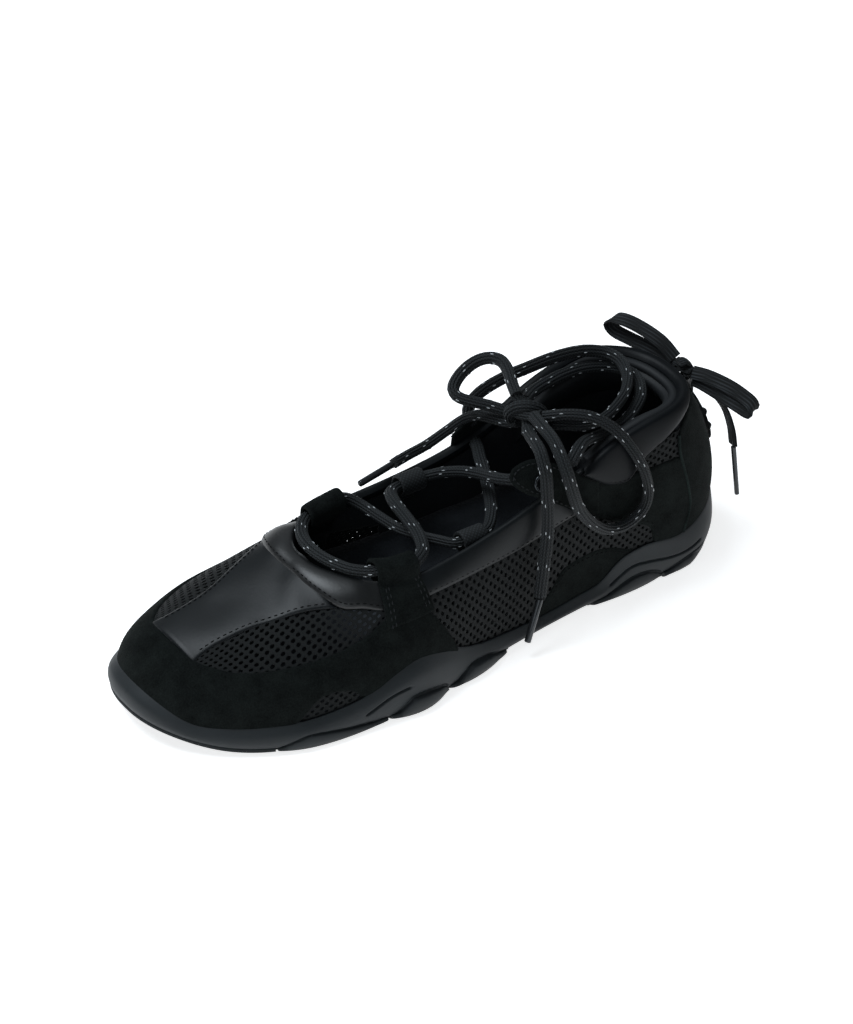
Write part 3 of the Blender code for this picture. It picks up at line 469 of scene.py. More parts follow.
for name, reach, crown in PODS:
    rows = []
    crown_t, crown_share = np.array(crown).T
    start, stop = crown_t[0], crown_t[-1]
    places = start + (stop - start) * (0.5 - 0.5 * np.cos(np.linspace(0, math.pi, 56)))
    before = (start - WEB_REACH, start - WEB_STEP) if start > WEB_REACH else ()
    behind = (stop + WEB_STEP, stop + WEB_REACH) if stop + WEB_REACH < 1 else ()
    for t in (*before, *places, *behind):
        web = t < start or t > stop
        bottom = float(curve(SOLE_PLAN, "bottom", t))
        swell = math.sin(math.pi * np.clip((t - start) / (stop - start), 0, 1))
        ends = 0.0 if name in ("pod_toe", "pod_heel_end") else 1 - swell**0.3
        ground = max(bottom - CLEARANCE - POD_HEIGHT, 0.0) + (WEB_RISE if web else POD_ROUND * ends)
        ground += HEEL_RISE * max(0.0, 1 - t / HEEL_RISE_END)
        climb = float(np.interp(t, crown_t, crown_share))
        row = []
        for side in SIDES:
            rim = float(curve(RUBBER_EDGE, SIDE_NAMES[side], t))
            top = bottom + max(climb * (rim - bottom), 0.05)
            stand = POD_STAND - HEEL_TUCK * max(0.0, 1 - t / HEEL_TUCK_END)
            stand = TOE_STAND if name == "pod_toe" else stand
            stand += reach * swell if side == LATERAL else 0.0
            stand -= WEB_INSET if web else END_INSET * ends
            section = ((-2.6, top), (stand - 0.5, top + 0.1), (stand, top - 0.35),
                       (stand + 0.25, ground + 0.55 * (top - ground)), (stand - 0.9, ground + 0.5),
                       (stand - 1.8, ground))
            half_row = [np.append(wall_at(t, side, lift), z) for lift, z in section]
            row.append(half_row if side == LATERAL else half_row[::-1])
        from_sipe = (t * SOLE_LENGTH) % SIPE_PITCH - SIPE_PITCH / 2
        sipe = SIPE_DEPTH * math.exp(-(from_sipe / SIPE_HALF) ** 2)
        a, b = row[0][-1], row[1][0]
        across = [a + (b - a) * s + np.array([0, 0, sipe]) for s in np.linspace(0.12, 0.88, 8)]
        rows.append(row[0] + across + row[1])
    work = lay_grid(np.array(rows))
    join_seams(work, fill=True)
    make_piece("lug_" + name, work, [OUTSOLE_RUBBER], [name])

# Insole: a foam footbed faced with dark grey knitted textile, laid loose on the cup's floor.
# Its edge turns up a little against the lining.
INSOLE_THICKNESS, INSOLE_CUP, FOOTBED_END, FOAM = 11.5, 1.2, 0.97, 4.0
ARCH_START, ARCH_LEAN, ARCH_RUN = 0.72, 6.0, 99.0   # where the arch side turns up, its lean
ARCH_CUP = ((0.0, 2.0), (0.15, 3.0), (0.25, 6.5), (0.32, 9.5), (0.40, 10.5), (0.48, 9.0), (0.57, 5.0),
            (0.66, 1.6),
            (0.75, 0.6), (1.0, 0.6))
KNIT_TEXTILE = new_finish("knitted_insole_textile", IOR=1.5, Roughness=0.95, Specular_IOR_Level=0.15,
                          Sheen_Weight=0.08, Sheen_Roughness=0.5)
loops = grain_of(KNIT_TEXTILE, "Voronoi", Scale=1 / 0.0013)
wear = grain_of(KNIT_TEXTILE, Scale=1 / 0.02, Detail=3.0)
feed(KNIT_TEXTILE, Base_Color=dyed(KNIT_TEXTILE, "#24272a", "#383c41", wear.outputs["Fac"]),
     Normal=raised(KNIT_TEXTILE, loops.outputs["Distance"], 0.6, 0.0003))


def thicken(piece, thickness, offset=-1):
    """Gives a sheet its thickness, below its face or, at offset 0, on both sides."""
    body = piece.modifiers.new("thickness", "SOLIDIFY")
    body.thickness, body.offset = thickness * MM, offset


top_height = curve(LAST, "feather", SIDE_T) + INSOLE_THICKNESS
bed_angle = angle_at_height(RING_T, np.concatenate([top_height, top_height[::-1]]))
bed_ring = last_ring(bed_angle)
level = ring_normals(bed_angle)[:, :2]
bed_ring[:, :2] -= (WALL + 0.5) * level / (level**2).sum(axis=1)[:, None]
bed_edges = [bed_ring[:RING_PLACES], bed_ring[RING_PLACES:][::-1]]
arch = np.interp(SIDE_T, *np.array(ARCH_CUP).T)
arch_angle = angle_at_height(SIDE_T, top_height + arch)
arch_edge = np.array([last_points(t, a, MEDIAL) for t, a in zip(SIDE_T, arch_angle)])
arch_edge[:, 0] += WALL + 0.9
rows = []
for s in np.linspace(0, 1, 41):
    row = bed_edges[0] * (1 - s) + bed_edges[1] * s
    row[:, 2] += INSOLE_CUP * max(1 - 2 * s, 0) ** 6
    curl = max((s - ARCH_START) / (1 - ARCH_START), 0) ** 2
    if curl > 0:
        row[:, 2] += (arch_edge[:, 2] - row[:, 2]) * curl
        inner = arch_edge[:, 0] + (1 - curl) * ARCH_RUN
        row[:, 0] = np.maximum(row[:, 0], np.minimum(inner, row[:, 0] + ARCH_LEAN))
    rows.append(row)
work = lay_grid(np.array(rows)[:, SIDE_T < FOOTBED_END])
join_seams(work)
if sum(face.normal.z for face in work.faces) < 0:
    bmesh.ops.reverse_faces(work, faces=work.faces)
footbed = make_piece("footbed", work, [KNIT_TEXTILE], ["insole"])
thicken(footbed, FOAM)

# Upper lining: a soft black textile shell, lasted to shape and open behind the mesh windows.
# The outer panels are sewn on it; at the throat and the collar its edge lies under the leather bands that
# turn over it.
TOPLINE = {
    "at": (0.00, 0.06, 0.16, 0.24, 0.30, 0.38, 0.50, 0.60, 0.75),
    "lateral": (73.0, 74.0, 73.0, 68.0, 62.0, 57.0, 51.0, 48.0, 46.0),
    "medial": (73.0, 74.0, 73.0, 68.0, 60.0, 53.5, 50.0, 48.0, 46.0),
}
THROAT_FRONT, THROAT_ROUND = 0.735, 0.12
LINING_ROWS, LINING_BACK = 34, 0.1
# Windows of the lining as (y, z) outlines on each side of the shoe
FORE_MESH_TOP = ((-110.8, 31.6), (-100.1, 34.7), (-88, 37.6), (-76.8, 40.3), (-66.1, 42.4), (-55.9, 43.2),
                 (-43, 41.6))
FORE_MESH_LOW = ((-111, 31.2), (-107.4, 30.4), (-99.8, 29.3), (-90.1, 29.6), (-79, 30.5), (-66.9, 31.8),
                 (-53.9, 34.4), (-43.1, 39))
QUARTER_MESH_TOP = ((-22.1, 41.3), (-3.2, 41.7), (21.5, 42.6), (40.0, 44.4), (51.4, 45.4), (67.1, 36.8),
                    (85.8, 27.6), (88.2, 23.0))
QUARTER_MESH_LOW = ((-22.7, 34.8), (-15.6, 21.7), (-12.3, 11.0), (-6.0, 9.0), (20.8, 7.0), (28.5, 8.2),
                    (37.1, 16.8), (42.3, 23.5), (46.8, 25.1), (59.3, 25.9), (68.4, 23.7), (81.4, 17.5),
                    (86.0, 18.5))
HEEL_MESH_TOP = ((77.5, 54.9), (84.6, 60.0), (93.3, 64.0), (101.1, 67.6))
HEEL_MESH_LOW = ((76.8, 54.6), (88.9, 53.7), (102.5, 53.0))
VENT_TOP = ((-24.0, 31.0), (-14.0, 31.0), (-3.0, 29.0))
VENT_LOW = ((-24.0, 21.5), (-14.0, 20.5), (-3.0, 19.5))
SUNK = 1.8                     # how far the lining lies back behind the quarter mesh


def edge_angle(t, side):
    """Section angle of the upper's edge: the crest on the vamp, the top line behind the throat."""
    line = angle_at_height(t, curve(TOPLINE, SIDE_NAMES[side], t))
    round_off = np.clip((THROAT_FRONT - t) / THROAT_ROUND, 0, 1)
    return math.pi / 2 - (math.pi / 2 - line) * np.sqrt(1 - (1 - round_off) ** 2)


def inside_window(y, z, top, low):
    """True for places between a window's lower and upper outline."""
    top_y, top_z = smooth(top, count=80).T
    low_y, low_z = smooth(low, count=80).T
    first, final = max(top_y[0], low_y[0]), min(top_y[-1], low_y[-1])
    clear = (y > first) & (y < final)
    return clear & (z < np.interp(y, top_y, top_z)) & (z > np.interp(y, low_y, low_z))


# Plain woven lining: soft black cloth whose threads break the light into fine dots
LINING = new_finish("woven_black_lining", IOR=1.5, Roughness=0.9, Specular_IOR_Level=0.15,
                    Sheen_Weight=0.06, Sheen_Roughness=0.5)
threads = grain_of(LINING, "Voronoi", Scale=1 / 0.0009, Randomness=0.35)
cloud = grain_of(LINING, Scale=1 / 0.012, Detail=3.0)
feed(LINING, Base_Color=dyed(LINING, "#15171a", "#222528", cloud.outputs["Fac"]),
     Normal=raised(LINING, threads.outputs["Distance"], 0.5, 0.00025))
crest_edge = around(edge_angle)
shell = np.array([last_ring(crest_edge * k / LINING_ROWS) for k in range(LINING_ROWS + 1)])
shell_out = np.array([ring_normals(crest_edge * k / LINING_ROWS) for k in range(LINING_ROWS + 1)])
deep = inside_window(shell[:, :, 1], shell[:, :, 2], QUARTER_MESH_TOP, QUARTER_MESH_LOW).astype(float)
for _ in range(3):
    deep[1:-1, 1:-1] = (deep[:-2, 1:-1] + deep[2:, 1:-1] + deep[1:-1, :-2] + deep[1:-1, 2:]) / 4
shell = shell - (LINING_BACK + SUNK * deep)[:, :, None] * shell_out
work = lay_grid(shell)
faces = list(work.faces)
middles = np.array([face.calc_center_median() for face in faces]) / MM
cut = np.zeros(len(faces), bool)
for top, low in ((FORE_MESH_TOP, FORE_MESH_LOW), (HEEL_MESH_TOP, HEEL_MESH_LOW), (VENT_TOP, VENT_LOW)):
    cut |= inside_window(middles[:, 1], middles[:, 2], top, low)
windows = [faces[k] for k in np.flatnonzero(cut)]
bmesh.ops.delete(work, geom=windows, context="FACES")
bmesh.ops.remove_doubles(work, verts=work.verts, dist=SEAM_GAP)
probe = min(work.faces, key=lambda face: (face.calc_center_median() - Vector((0.045, -0.06, 0.02))).length)
if probe.normal.x < 0:
    bmesh.ops.reverse_faces(work, faces=work.faces)
lining = make_piece("upper_lining", work, [LINING], ["upper"])
thicken(lining, WALL - LINING_BACK)

# Air mesh: black spacer mesh knitted with open holes, sewn behind the windows of the fore part, the
# quarters and the collar. The fore part has slanted oval holes, the quarters larger round ones.
MESH_THICKNESS = 0.55
full_rows = [last_ring(np.full(2 * RING_PLACES, a)) for a in np.linspace(0, math.pi / 2, 60)]
last_work = lay_grid(np.array(full_rows))
bmesh.ops.scale(last_work, vec=(1 / MM, 1 / MM, 1 / MM), verts=last_work.verts)
bmesh.ops.remove_doubles(last_work, verts=last_work.verts, dist=0.001)
bmesh.ops.recalc_face_normals(last_work, faces=last_work.faces)
LAST_TREE = BVHTree.FromBMesh(last_work)
_, lateral_out, _, _ = LAST_TREE.find_nearest(Vector((60, -60, 20)))
OUTWARDS = 1.0 if lateral_out.x > 0 else -1.0
last_work.free()


def lay(points):
    """Nearest places on the last and its outward directions there."""
    spots, normals = [], []
    for point in np.reshape(points, (-1, 3)):
        spot, normal, _, _ = LAST_TREE.find_nearest(Vector(point))
        spots.append(spot)
        normals.append(normal * OUTWARDS)
    return np.array(spots), np.array(normals)


def facing(points, side):
    """The same points for one side of the shoe, mirrored across its middle for the medial side."""
    points = np.array(points, float)
    if side == MEDIAL:
        middle = centre_line(0.5 - points[:, 1] / UPPER_LENGTH)
        points[:, 0] = 2 * middle - points[:, 0]
        points = lay(points)[0]
    return points


def turn_out(work):
    """Turns a sheet's faces away from the last."""
    work.normal_update()
    score = 0.0
    for face in list(work.faces)[::7]:
        _, normal, _, _ = LAST_TREE.find_nearest(face.calc_center_median() / MM)
        score += face.normal.dot(normal * OUTWARDS)
    if score < 0:
        bmesh.ops.reverse_faces(work, faces=work.faces)
    return work


def open_mesh(low_edge, high_edge, along_mm, across_mm, bar_mm, slant, lift):
    """Sheet of staggered cells between two edges, with an open hole in each cell."""
    low, high = smooth(low_edge, count=90), smooth(high_edge, count=90)
    length = np.linalg.norm(np.diff((low + high) / 2, axis=0), axis=1).sum()
    width = np.linalg.norm(high - low, axis=1).mean()
    cells = math.ceil(length / along_mm + (width + abs(slant) * width) / across_mm) + 3
    work = bmesh.new()
    work.loops.layers.uv.new("sheet")
    bmesh.ops.create_grid(work, x_segments=cells, y_segments=cells, size=1, calc_uvs=True)
    i, j = np.meshgrid(np.arange(cells + 1), np.arange(cells + 1))
    across = ((i + j - cells) * across_mm / 2 + width / 2).ravel()
    along = ((i - j) * along_mm / 2 + length / 2).ravel() + slant * (across - width / 2)
    kept = (along > 0) & (along < length) & (across > 0) & (across < width)
    s = np.clip(along / length, 0, 1) * 89
    base = np.floor(s).astype(int).clip(0, 88)
    part = (s - base)[:, None]
    a = low[base] * (1 - part) + low[base + 1] * part
    b = high[base] * (1 - part) + high[base + 1] * part
    rise = np.clip(across / width, 0, 1)[:, None]
    flat = a * (1 - rise) + b * rise
    spots, normals = lay(flat[kept])
    flat[kept] = spots + lift * normals
    for vertex, place in zip(work.verts, flat):
        vertex.co = Vector(place) * MM
    work.verts.ensure_lookup_table()
    bmesh.ops.delete(work, geom=[work.verts[k] for k in np.flatnonzero(~kept)], context="VERTS")
    cell_faces = list(work.faces)
    bmesh.ops.inset_individual(work, faces=cell_faces, thickness=bar_mm * MM, use_even_offset=True)
    bmesh.ops.delete(work, geom=cell_faces, context="FACES")
    return turn_out(work)


# Spacer knit: fine matt yarns laid side by side, with a faint sheen on their crests
AIR_MESH = new_finish("knitted_air_mesh", IOR=1.5, Roughness=0.78, Specular_IOR_Level=0.2,
                      Sheen_Weight=0.05, Sheen_Roughness=0.4)
yarns = grain_of(AIR_MESH, Scale=1 / 0.00045, Detail=2.0)
feed(AIR_MESH, Base_Color=dyed(AIR_MESH, "#0a0c0c", "#171a1b", yarns.outputs["Fac"]),
     Normal=raised(AIR_MESH, yarns.outputs["Fac"], 0.5, 0.0002))
FORE_LOW = ((13, -114, 26.5), (24, -104, 25.5), (32, -92, 25.5), (37, -78, 26), (40, -64, 27),
            (41, -50, 29),
            (40, -38, 32))
FORE_HIGH = ((4, -113, 33.2), (5, -101, 36.5), (8, -88, 40), (12.5, -75, 43), (18, -63, 45), (25, -51, 46),
             (31, -38, 45.5))
QUARTER_LOW = ((44, -26, 9), (40.5, -8, 6.8), (36, 14, 5.6), (33, 36, 5.6), (31.5, 60, 9), (31.5, 92, 13))
QUARTER_HIGH = ((35, -26, 45), (34.5, -8, 45.5), (33, 14, 46.5), (31, 36, 48), (30, 60, 49), (29.5, 92, 40))
HEEL_LOW = ((29.5, 72, 50), (29.6, 88, 50), (28.5, 106, 50))
HEEL_HIGH = ((28, 72, 62), (28, 88, 65), (25, 106, 68))
LOW_LOW = ((42, -90, 10), (45, -70, 9.5), (46.5, -50, 9.5))
LOW_HIGH = ((39, -90, 22), (41.5, -70, 23), (43.5, -50, 23))
VENT_SHEET_LOW = ((42, -27, 17.5), (41, -14, 16.5), (39, 1, 15.5))
VENT_SHEET_HIGH = ((39, -27, 35), (38, -14, 35), (36, 1, 33))
MESHES = (
    # name, lower edge, upper edge, cell along, cell across, yarn between holes, slant, lift off the last
    ("vent_lining", VENT_SHEET_LOW, VENT_SHEET_HIGH, 2.9, 2.5, 0.34, 0.6, -1.6),
    ("fore_mesh", FORE_LOW, FORE_HIGH, 3.9, 3.1, 0.40, 0.35, 0.3),
    ("quarter_mesh", QUARTER_LOW, QUARTER_HIGH, 3.9, 4.2, 0.46, 0.0, 0.3),
    ("collar_mesh", HEEL_LOW, HEEL_HIGH, 3.9, 3.1, 0.40, 0.0, 0.3),
    ("low_mesh", LOW_LOW, LOW_HIGH, 3.9, 3.1, 0.40, 0.2, 0.3),
)
for label, low_edge, high_edge, *knit in MESHES:
    for side in SIDES:
        work = open_mesh(facing(low_edge, side), facing(high_edge, side), *knit)
        net = make_piece(of_side(label, side), work, [AIR_MESH])
        yarn = net.modifiers.new("yarn", "SUBSURF")
        yarn.levels = yarn.render_levels = 1
        thicken(net, MESH_THICKNESS, 0)

# Toe guard: one piece of black suede wrapped round the toe and along both sides to the straps.
# Cut edges lie on the mesh, the lower edge is bonded under the rubber, a row of thread holds it.
SUEDE_LIFT = 1.15
GUARD_TOP = ((8.6, -111.5, 31.6), (15.5, -107.4, 30.4), (23.2, -99.8, 29.3), (28.9, -90.1, 29.6),
             (33.2, -79, 30.5), (35.9, -66.9, 31.8), (37.1, -53.9, 34.4), (36.2, -43.6, 38.2),
             (36.9, -39.3, 38.6), (37.8, -31.7, 38.2), (38.4, -25.5, 37.2), (39.3, -22.7, 33.8),
             (41, -15.6, 21.7), (40.9, -12.3, 12.9))
GUARD_FRONT = (-4.2, -113.2, 32.9)
GUARD_LOW_T = (1.0, 0.985, 0.96, 0.92, 0.88, 0.845)
GUARD_LOW_ARC = ((40.4, -86.3, 10.4), (41.2, -78.3, 17.5), (41.9, -71.2, 19.2), (43.4, -62.9, 17.6),
                 (44.6, -55.9, 11.4))
GUARD_LOW_END = ((45.4, -48.0, 15.0), (44.6, -36.0, 17.6), (42.6, -22.0, 15.5), (41.4, -10.5, 9.0))
TUCK = 3.0


def panel(low_edge, high_edge, lift, puff=0.0, spacing=1.5, roll=False, taper=0.0, ease=0, creases=()):
    """Sheet on the last between two edges: lifted off it, soft at its borders, rolled over the top."""
    length = max(np.linalg.norm(np.diff(np.array(e, float), axis=0), axis=1).sum()
                 for e in (low_edge, high_edge))
    columns = int(length / spacing) + 2
    low, high = smooth(low_edge, count=columns), smooth(high_edge, count=columns)
    width = np.linalg.norm(high - low, axis=1).max()
    rows = max(7, int(width / spacing) + 2)
    rise = (0.5 - 0.5 * np.cos(np.linspace(0, math.pi, rows)))[:, None, None]
    flat = low[None] * (1 - rise) + high[None] * rise
    spots, normals = lay(flat)
    spots, normals = spots.reshape(flat.shape), normals.reshape(flat.shape)
    for _ in range(ease):
        for field in (spots, normals):
            beside = field[:-2, 1:-1] + field[2:, 1:-1] + field[1:-1, :-2] + field[1:-1, 2:]
            field[1:-1, 1:-1] = 0.5 * field[1:-1, 1:-1] + 0.125 * beside
    normals /= np.linalg.norm(normals, axis=2)[:, :, None]
    steps = np.linalg.norm(np.diff(spots, axis=0), axis=2)
    up = np.concatenate([np.zeros((1, columns)), np.cumsum(steps, axis=0)])
    steps = np.linalg.norm(np.diff(spots, axis=1), axis=2)
    on = np.concatenate([np.zeros((rows, 1)), np.cumsum(steps, axis=1)], axis=1)
    ends = np.minimum(on, on[:, -1:] - on)
    border = np.minimum(np.minimum(up, 99.0 if roll else up[-1] - up), ends)
    swell = np.sin(math.pi * np.clip(up / np.maximum(up[-1], 0.1), 0, 1)) ** 0.8
    full = np.clip(ends / taper, 0, 1) if taper else np.ones_like(ends)
    full = full**2 * (3 - 2 * full)
    height = lift * (1 - 0.6 * np.exp(-border / 0.45)) * (0.5 + 0.5 * full) + puff * swell * full
    for depth, half_width, route in creases:
        line = smooth(route, spacing=1.0)
        near = np.linalg.norm(spots[:, :, None] - line[None, None], axis=3).min(axis=2)
        height -= depth * np.exp(-(near / half_width) ** 2)
    sheet = spots + height[:, :, None] * normals
    if roll:
        climb = spots[-1] - spots[-3]
        climb /= np.linalg.norm(climb, axis=1)[:, None]
        out = normals[-1]
        turned = []
        for rise_mm, out_mm in ((0.7, lift * 0.75), (1.1, 0.0), (1.0, -1.2), (0.4, -WALL - 0.5),
                                (-1.4, -WALL - 0.75), (-3.6, -WALL - 0.5)):
            turned.append(spots[-1] + climb * rise_mm + out * out_mm)
        sheet = np.concatenate([sheet, np.array(turned)])
    return sheet, (length, width)


def suede_finish(name, dark, light):
    """Suede: napped leather, matt and almost black, its brushed nap mottled in soft patches."""
    finish = new_finish(name, IOR=1.45, Roughness=0.96, Specular_IOR_Level=0.08, Sheen_Weight=0.06,
                        Sheen_Roughness=0.45, Sheen_Tint=colour("#6f7875"))
    patches = grain_of(finish, Scale=1 / 0.009, Detail=5.0, Roughness=0.62)
    nap = grain_of(finish, Scale=1 / 0.0006, Detail=3.0, Roughness=0.7)
    brushed = add_node(finish, "ShaderNodeMix", values={0: 0.55},
                       links={2: patches.outputs["Fac"], 3: nap.outputs["Fac"]})
    depth = add_node(finish, "ShaderNodeMapRange", values={1: 0.36, 2: 0.64}, links={0: brushed.outputs[0]})
    feed(finish, Base_Color=dyed(finish, dark, light, depth.outputs[0]),
         Normal=raised(finish, nap.outputs["Fac"], 0.7, 0.0003))
    return finish


def sew_panel(name, edges, finish, slot, lift, thickness=0.8, replaced=(), **shape):
    """Panel between two edges, with the thickness of its leather below its face."""
    sheet, size = panel(*edges, lift, **shape)
    sewn = make_piece(name, turn_out(lay_grid(sheet, size)), [finish], replaced)
    thicken(sewn, thickness)
    return sewn


def tucked_edge(places, side):
    """Edge of a panel that is bonded under the rubber, at places along the shoe."""
    heights = [float(curve(RUBBER_EDGE, SIDE_NAMES[side], t)) - TUCK for t in places]
    return [last_points(t, angle_at_height(t, z), side) for t, z in zip(places, heights)]


SUEDE = suede_finish("black_suede_nap", "#070909", "#1a1e1d")
guard_low, guard_top = {}, {}
for side in SIDES:
    guard_low[side] = tucked_edge(GUARD_LOW_T, side) + list(facing(GUARD_LOW_ARC + GUARD_LOW_END, side))
    guard_top[side] = [GUARD_FRONT] + list(facing(GUARD_TOP, side))
guard_edges = [edge[MEDIAL][:0:-1] + edge[LATERAL] for edge in (guard_low, guard_top)]
sew_panel("toe_guard", guard_edges, SUEDE, "black_suede", SUEDE_LIFT, puff=0.9)

# Vamp: a long panel of smooth black leather down the middle of the fore part, from toe to throat.
# Its edges are folded and sewn on the mesh; soft hollows cross it, with a ridge behind the first.
LEATHER_LIFT = 1.45
CREASES = (
    # depth (a ridge below nought), half its width, and its route on the last
    (0.65, 6.0, ((-5.2, -56.1, 48.0), (-5.0, -61.0, 45.5), (3.0, -70.0, 42.5), (12.0, -80.0, 39.5))),
    (-0.40, 5.0, ((6.0, -65.0, 45.0), (14.0, -69.0, 43.0), (21.0, -70.0, 42.0))),
    (0.35, 7.0, ((-8.0, -92.0, 39.5), (0.0, -100.0, 37.0), (6.0, -108.0, 33.5))),
)
VAMP_EDGE = ((10.2, -113.0, 30.6), (9.4, -107, 33.0), (9.8, -100.1, 34.7), (12.2, -88, 37.6),
             (16.4, -76.8, 40.3),
             (21.1, -66.1, 42.4), (26.0, -58.0, 43.6))


def leather_finish(name, dark, light, gloss, grain_mm, shine):
    """Smooth full-grain leather: near-black, softly polished, with fine pores and a broad shine."""
    finish = new_finish(name, IOR=1.5, Roughness=gloss, Specular_IOR_Level=shine)
    cloud = grain_of(finish, Scale=1 / 0.016, Detail=4.0)
    polish = add_node(finish, "ShaderNodeMapRange", values={3: gloss - 0.05, 4: gloss + 0.09},
                      links={0: cloud.outputs["Fac"]})
    pores = grain_of(finish, "Voronoi", {"feature": "SMOOTH_F1"}, Scale=1000 / grain_mm)
    soft = grain_of(finish, Scale=1 / 0.011, Detail=1.0)
    broad = raised(finish, soft.outputs["Fac"], 0.12, 0.0005)
    feed(finish, Base_Color=dyed(finish, dark, light, cloud.outputs["Fac"]), Roughness=polish.outputs[0],
         Normal=raised(finish, pores.outputs["Distance"], 0.22, 0.0001, Normal=broad))
    return finish


LEATHER = leather_finish("smooth_black_leather", "#070a0c", "#0e1316", 0.40, 0.9, 0.26)
vamp = sew_panel("vamp_leather", (facing(VAMP_EDGE, MEDIAL), facing(VAMP_EDGE, LATERAL)), LEATHER,
                 "black_leather", LEATHER_LIFT, puff=0.3, ease=60, creases=CREASES)

# Throat band: padded smooth leather round the front of the opening, from strap to strap.
# It is rolled over the edge of the throat and held by a row of thread along its lower border.
BAND_LOW = ((2.5, -62.8, 47.0), (14.3, -61.7, 46.2), (26.3, -57, 43.3), (31, -49, 42.4),
            (33.8, -43.4, 41.2),
            (34.6, -40, 41.2))
BAND_T = (0.735, 0.732, 0.724, 0.712, 0.698, 0.682, 0.664, 0.652)


def throat_edge(t, side):
    """Place on the upper's edge at t."""
    return last_points(t, edge_angle(np.array(t), side), side)


low = list(facing(BAND_LOW, LATERAL))[::-1] + list(facing(BAND_LOW[1:], MEDIAL))
top = [throat_edge(t, LATERAL) for t in BAND_T][::-1] + [throat_edge(t, MEDIAL) for t in BAND_T[1:]]
PADDED_LEATHER = leather_finish("polished_padded_leather", "#08090a", "#101213", 0.37, 0.9, 0.52)
band = sew_panel("throat_band", (low, top), PADDED_LEATHER, "black_leather", 1.6, puff=1.2, roll=True,
                 taper=12.0, creases=CREASES[:1])

# Quarter trim: a folded strip of smooth leather along the top line between the strap and the ankle.
# It covers the upper edge of the quarter mesh and is sewn through.
TRIM_LOW = ((37.2, -28, 41.0), (36.3, -22.1, 41.3), (35, -3.2, 41.7), (32.6, 21.5, 42.6),
            (30.4, 48.1, 45.8),
            (30.2, 56, 47.0))
TRIM_T = (0.61, 0.58, 0.54, 0.50, 0.45, 0.40, 0.35, 0.31, 0.285)
for side in SIDES:
    top = [throat_edge(t, side) for t in TRIM_T]
    sew_panel(of_side("quarter_trim", side), (facing(TRIM_LOW, side), top), LEATHER, "black_leather",
              1.05, puff=0.45, roll=True)

# Low quarter patch: a curved piece of suede that rises from the rubber under the ankle.
# Bonded under the side wall, its upper edge sewn on the mesh.
LOW_PATCH_TOP = ((34.9, 20.8, 6.6), (33.9, 27.9, 8.4), (32.8, 37.1, 16.8), (32.2, 42.3, 23.2),
                 (31.8, 46.8, 25.1),
                 (31, 59.3, 25.9), (30.8, 68.4, 23.7), (30.9, 81.4, 17.5), (31, 92, 14.5))
LOW_PATCH_LOW = ((35.0, 20.5, 5.6), (34.4, 28, 5.4), (33.6, 38, 5.4), (33.0, 48, 5.6), (32.4, 58, 6.0),
                 (31.8, 68, 9.0), (31.4, 80, 13.0), (31.2, 92, 13.0))
for side in SIDES:
    sew_panel(of_side("low_patch", side), (facing(LOW_PATCH_LOW, side), facing(LOW_PATCH_TOP, side)),
              SUEDE, "black_suede", 1.0)

# Ankle wings: suede pieces whose forward tabs stand above the top line, each with an eyelet.
# The lace passes through the eyelets; the wings run back under the quarter suede.
WING_TOP = {
    LATERAL: ((23.8, 22.6, 70.8), (22.6, 25.0, 73.4), (22.9, 30.5, 75.0), (23.9, 35.6, 74.6),
              (26.2, 42, 71.5),
              (27.8, 48.5, 67.0), (28.6, 54.5, 62.4), (28.8, 62, 57.5)),
    MEDIAL: ((-24.6, 30.6, 59.4), (-24.9, 33, 61.4), (-25.6, 38, 64.0), (-26.3, 44, 65.8),
             (-27.3, 51, 64.8),
             (-28.2, 56, 61.8), (-28.8, 62, 57.5)),
}
WING_LOW = {
    LATERAL: ((24.3, 22.8, 69.4), (25.6, 24.2, 66.9), (27.5, 28.6, 63.0), (28.8, 35.4, 58.6),
              (29.6, 42, 53.2),
              (30.2, 48, 48.6), (30.3, 53, 45.0), (30.4, 62, 42.0)),
    MEDIAL: ((-26.0, 30.6, 51.0), (-26.8, 33, 50.6), (-27.8, 38, 50.0), (-28.8, 44, 48.8),
             (-29.4, 50, 46.8),
             (-29.8, 55, 45.0), (-30.0, 62, 42.0)),
}
EYELETS = {LATERAL: (35.0, 66.0, 2.6), MEDIAL: (41.0, 61.6, 2.2)}
WING_LIFT, WING_THICKNESS = 1.6, 1.5


def punch(work, spot, radius):
    """Opens a round eyelet of a radius at a spot in a sheet."""
    centre = Vector(spot) * MM
    for vertex in work.verts:
        away = vertex.co - centre
        if away.length < (radius + 0.55) * MM:
            vertex.co = centre + away.normalized() * radius * MM
    hole = [face for face in work.faces if (face.calc_center_median() - centre).length < radius * 0.95 * MM]
    bmesh.ops.delete(work, geom=hole, context="FACES")


def eyelet_ring(name, centre, out, radius):
    """Ring of dark metal pressed round an eyelet."""
    work = bmesh.new()
    bmesh.ops.create_circle(work, segments=10, radius=EYELET_WIRE * MM)
    bmesh.ops.rotate(work, verts=work.verts, cent=(0, 0, 0), matrix=Matrix.Rotation(math.pi / 2, 3, "X"))
    bmesh.ops.translate(work, verts=work.verts, vec=((radius + 0.3) * MM, 0, 0))
    bmesh.ops.spin(work, geom=work.verts[:] + work.edges[:], cent=(0, 0, 0), axis=(0, 0, 1),
                   angle=2 * math.pi, steps=36, use_merge=True)
    turn = Vector(out).to_track_quat("Z", "Y").to_matrix().to_4x4()
    bmesh.ops.transform(work, matrix=Matrix.Translation(Vector(centre) * MM) @ turn, verts=work.verts)
    bmesh.ops.recalc_face_normals(work, faces=work.faces)
    make_piece(name, work, [EYELET_METAL])


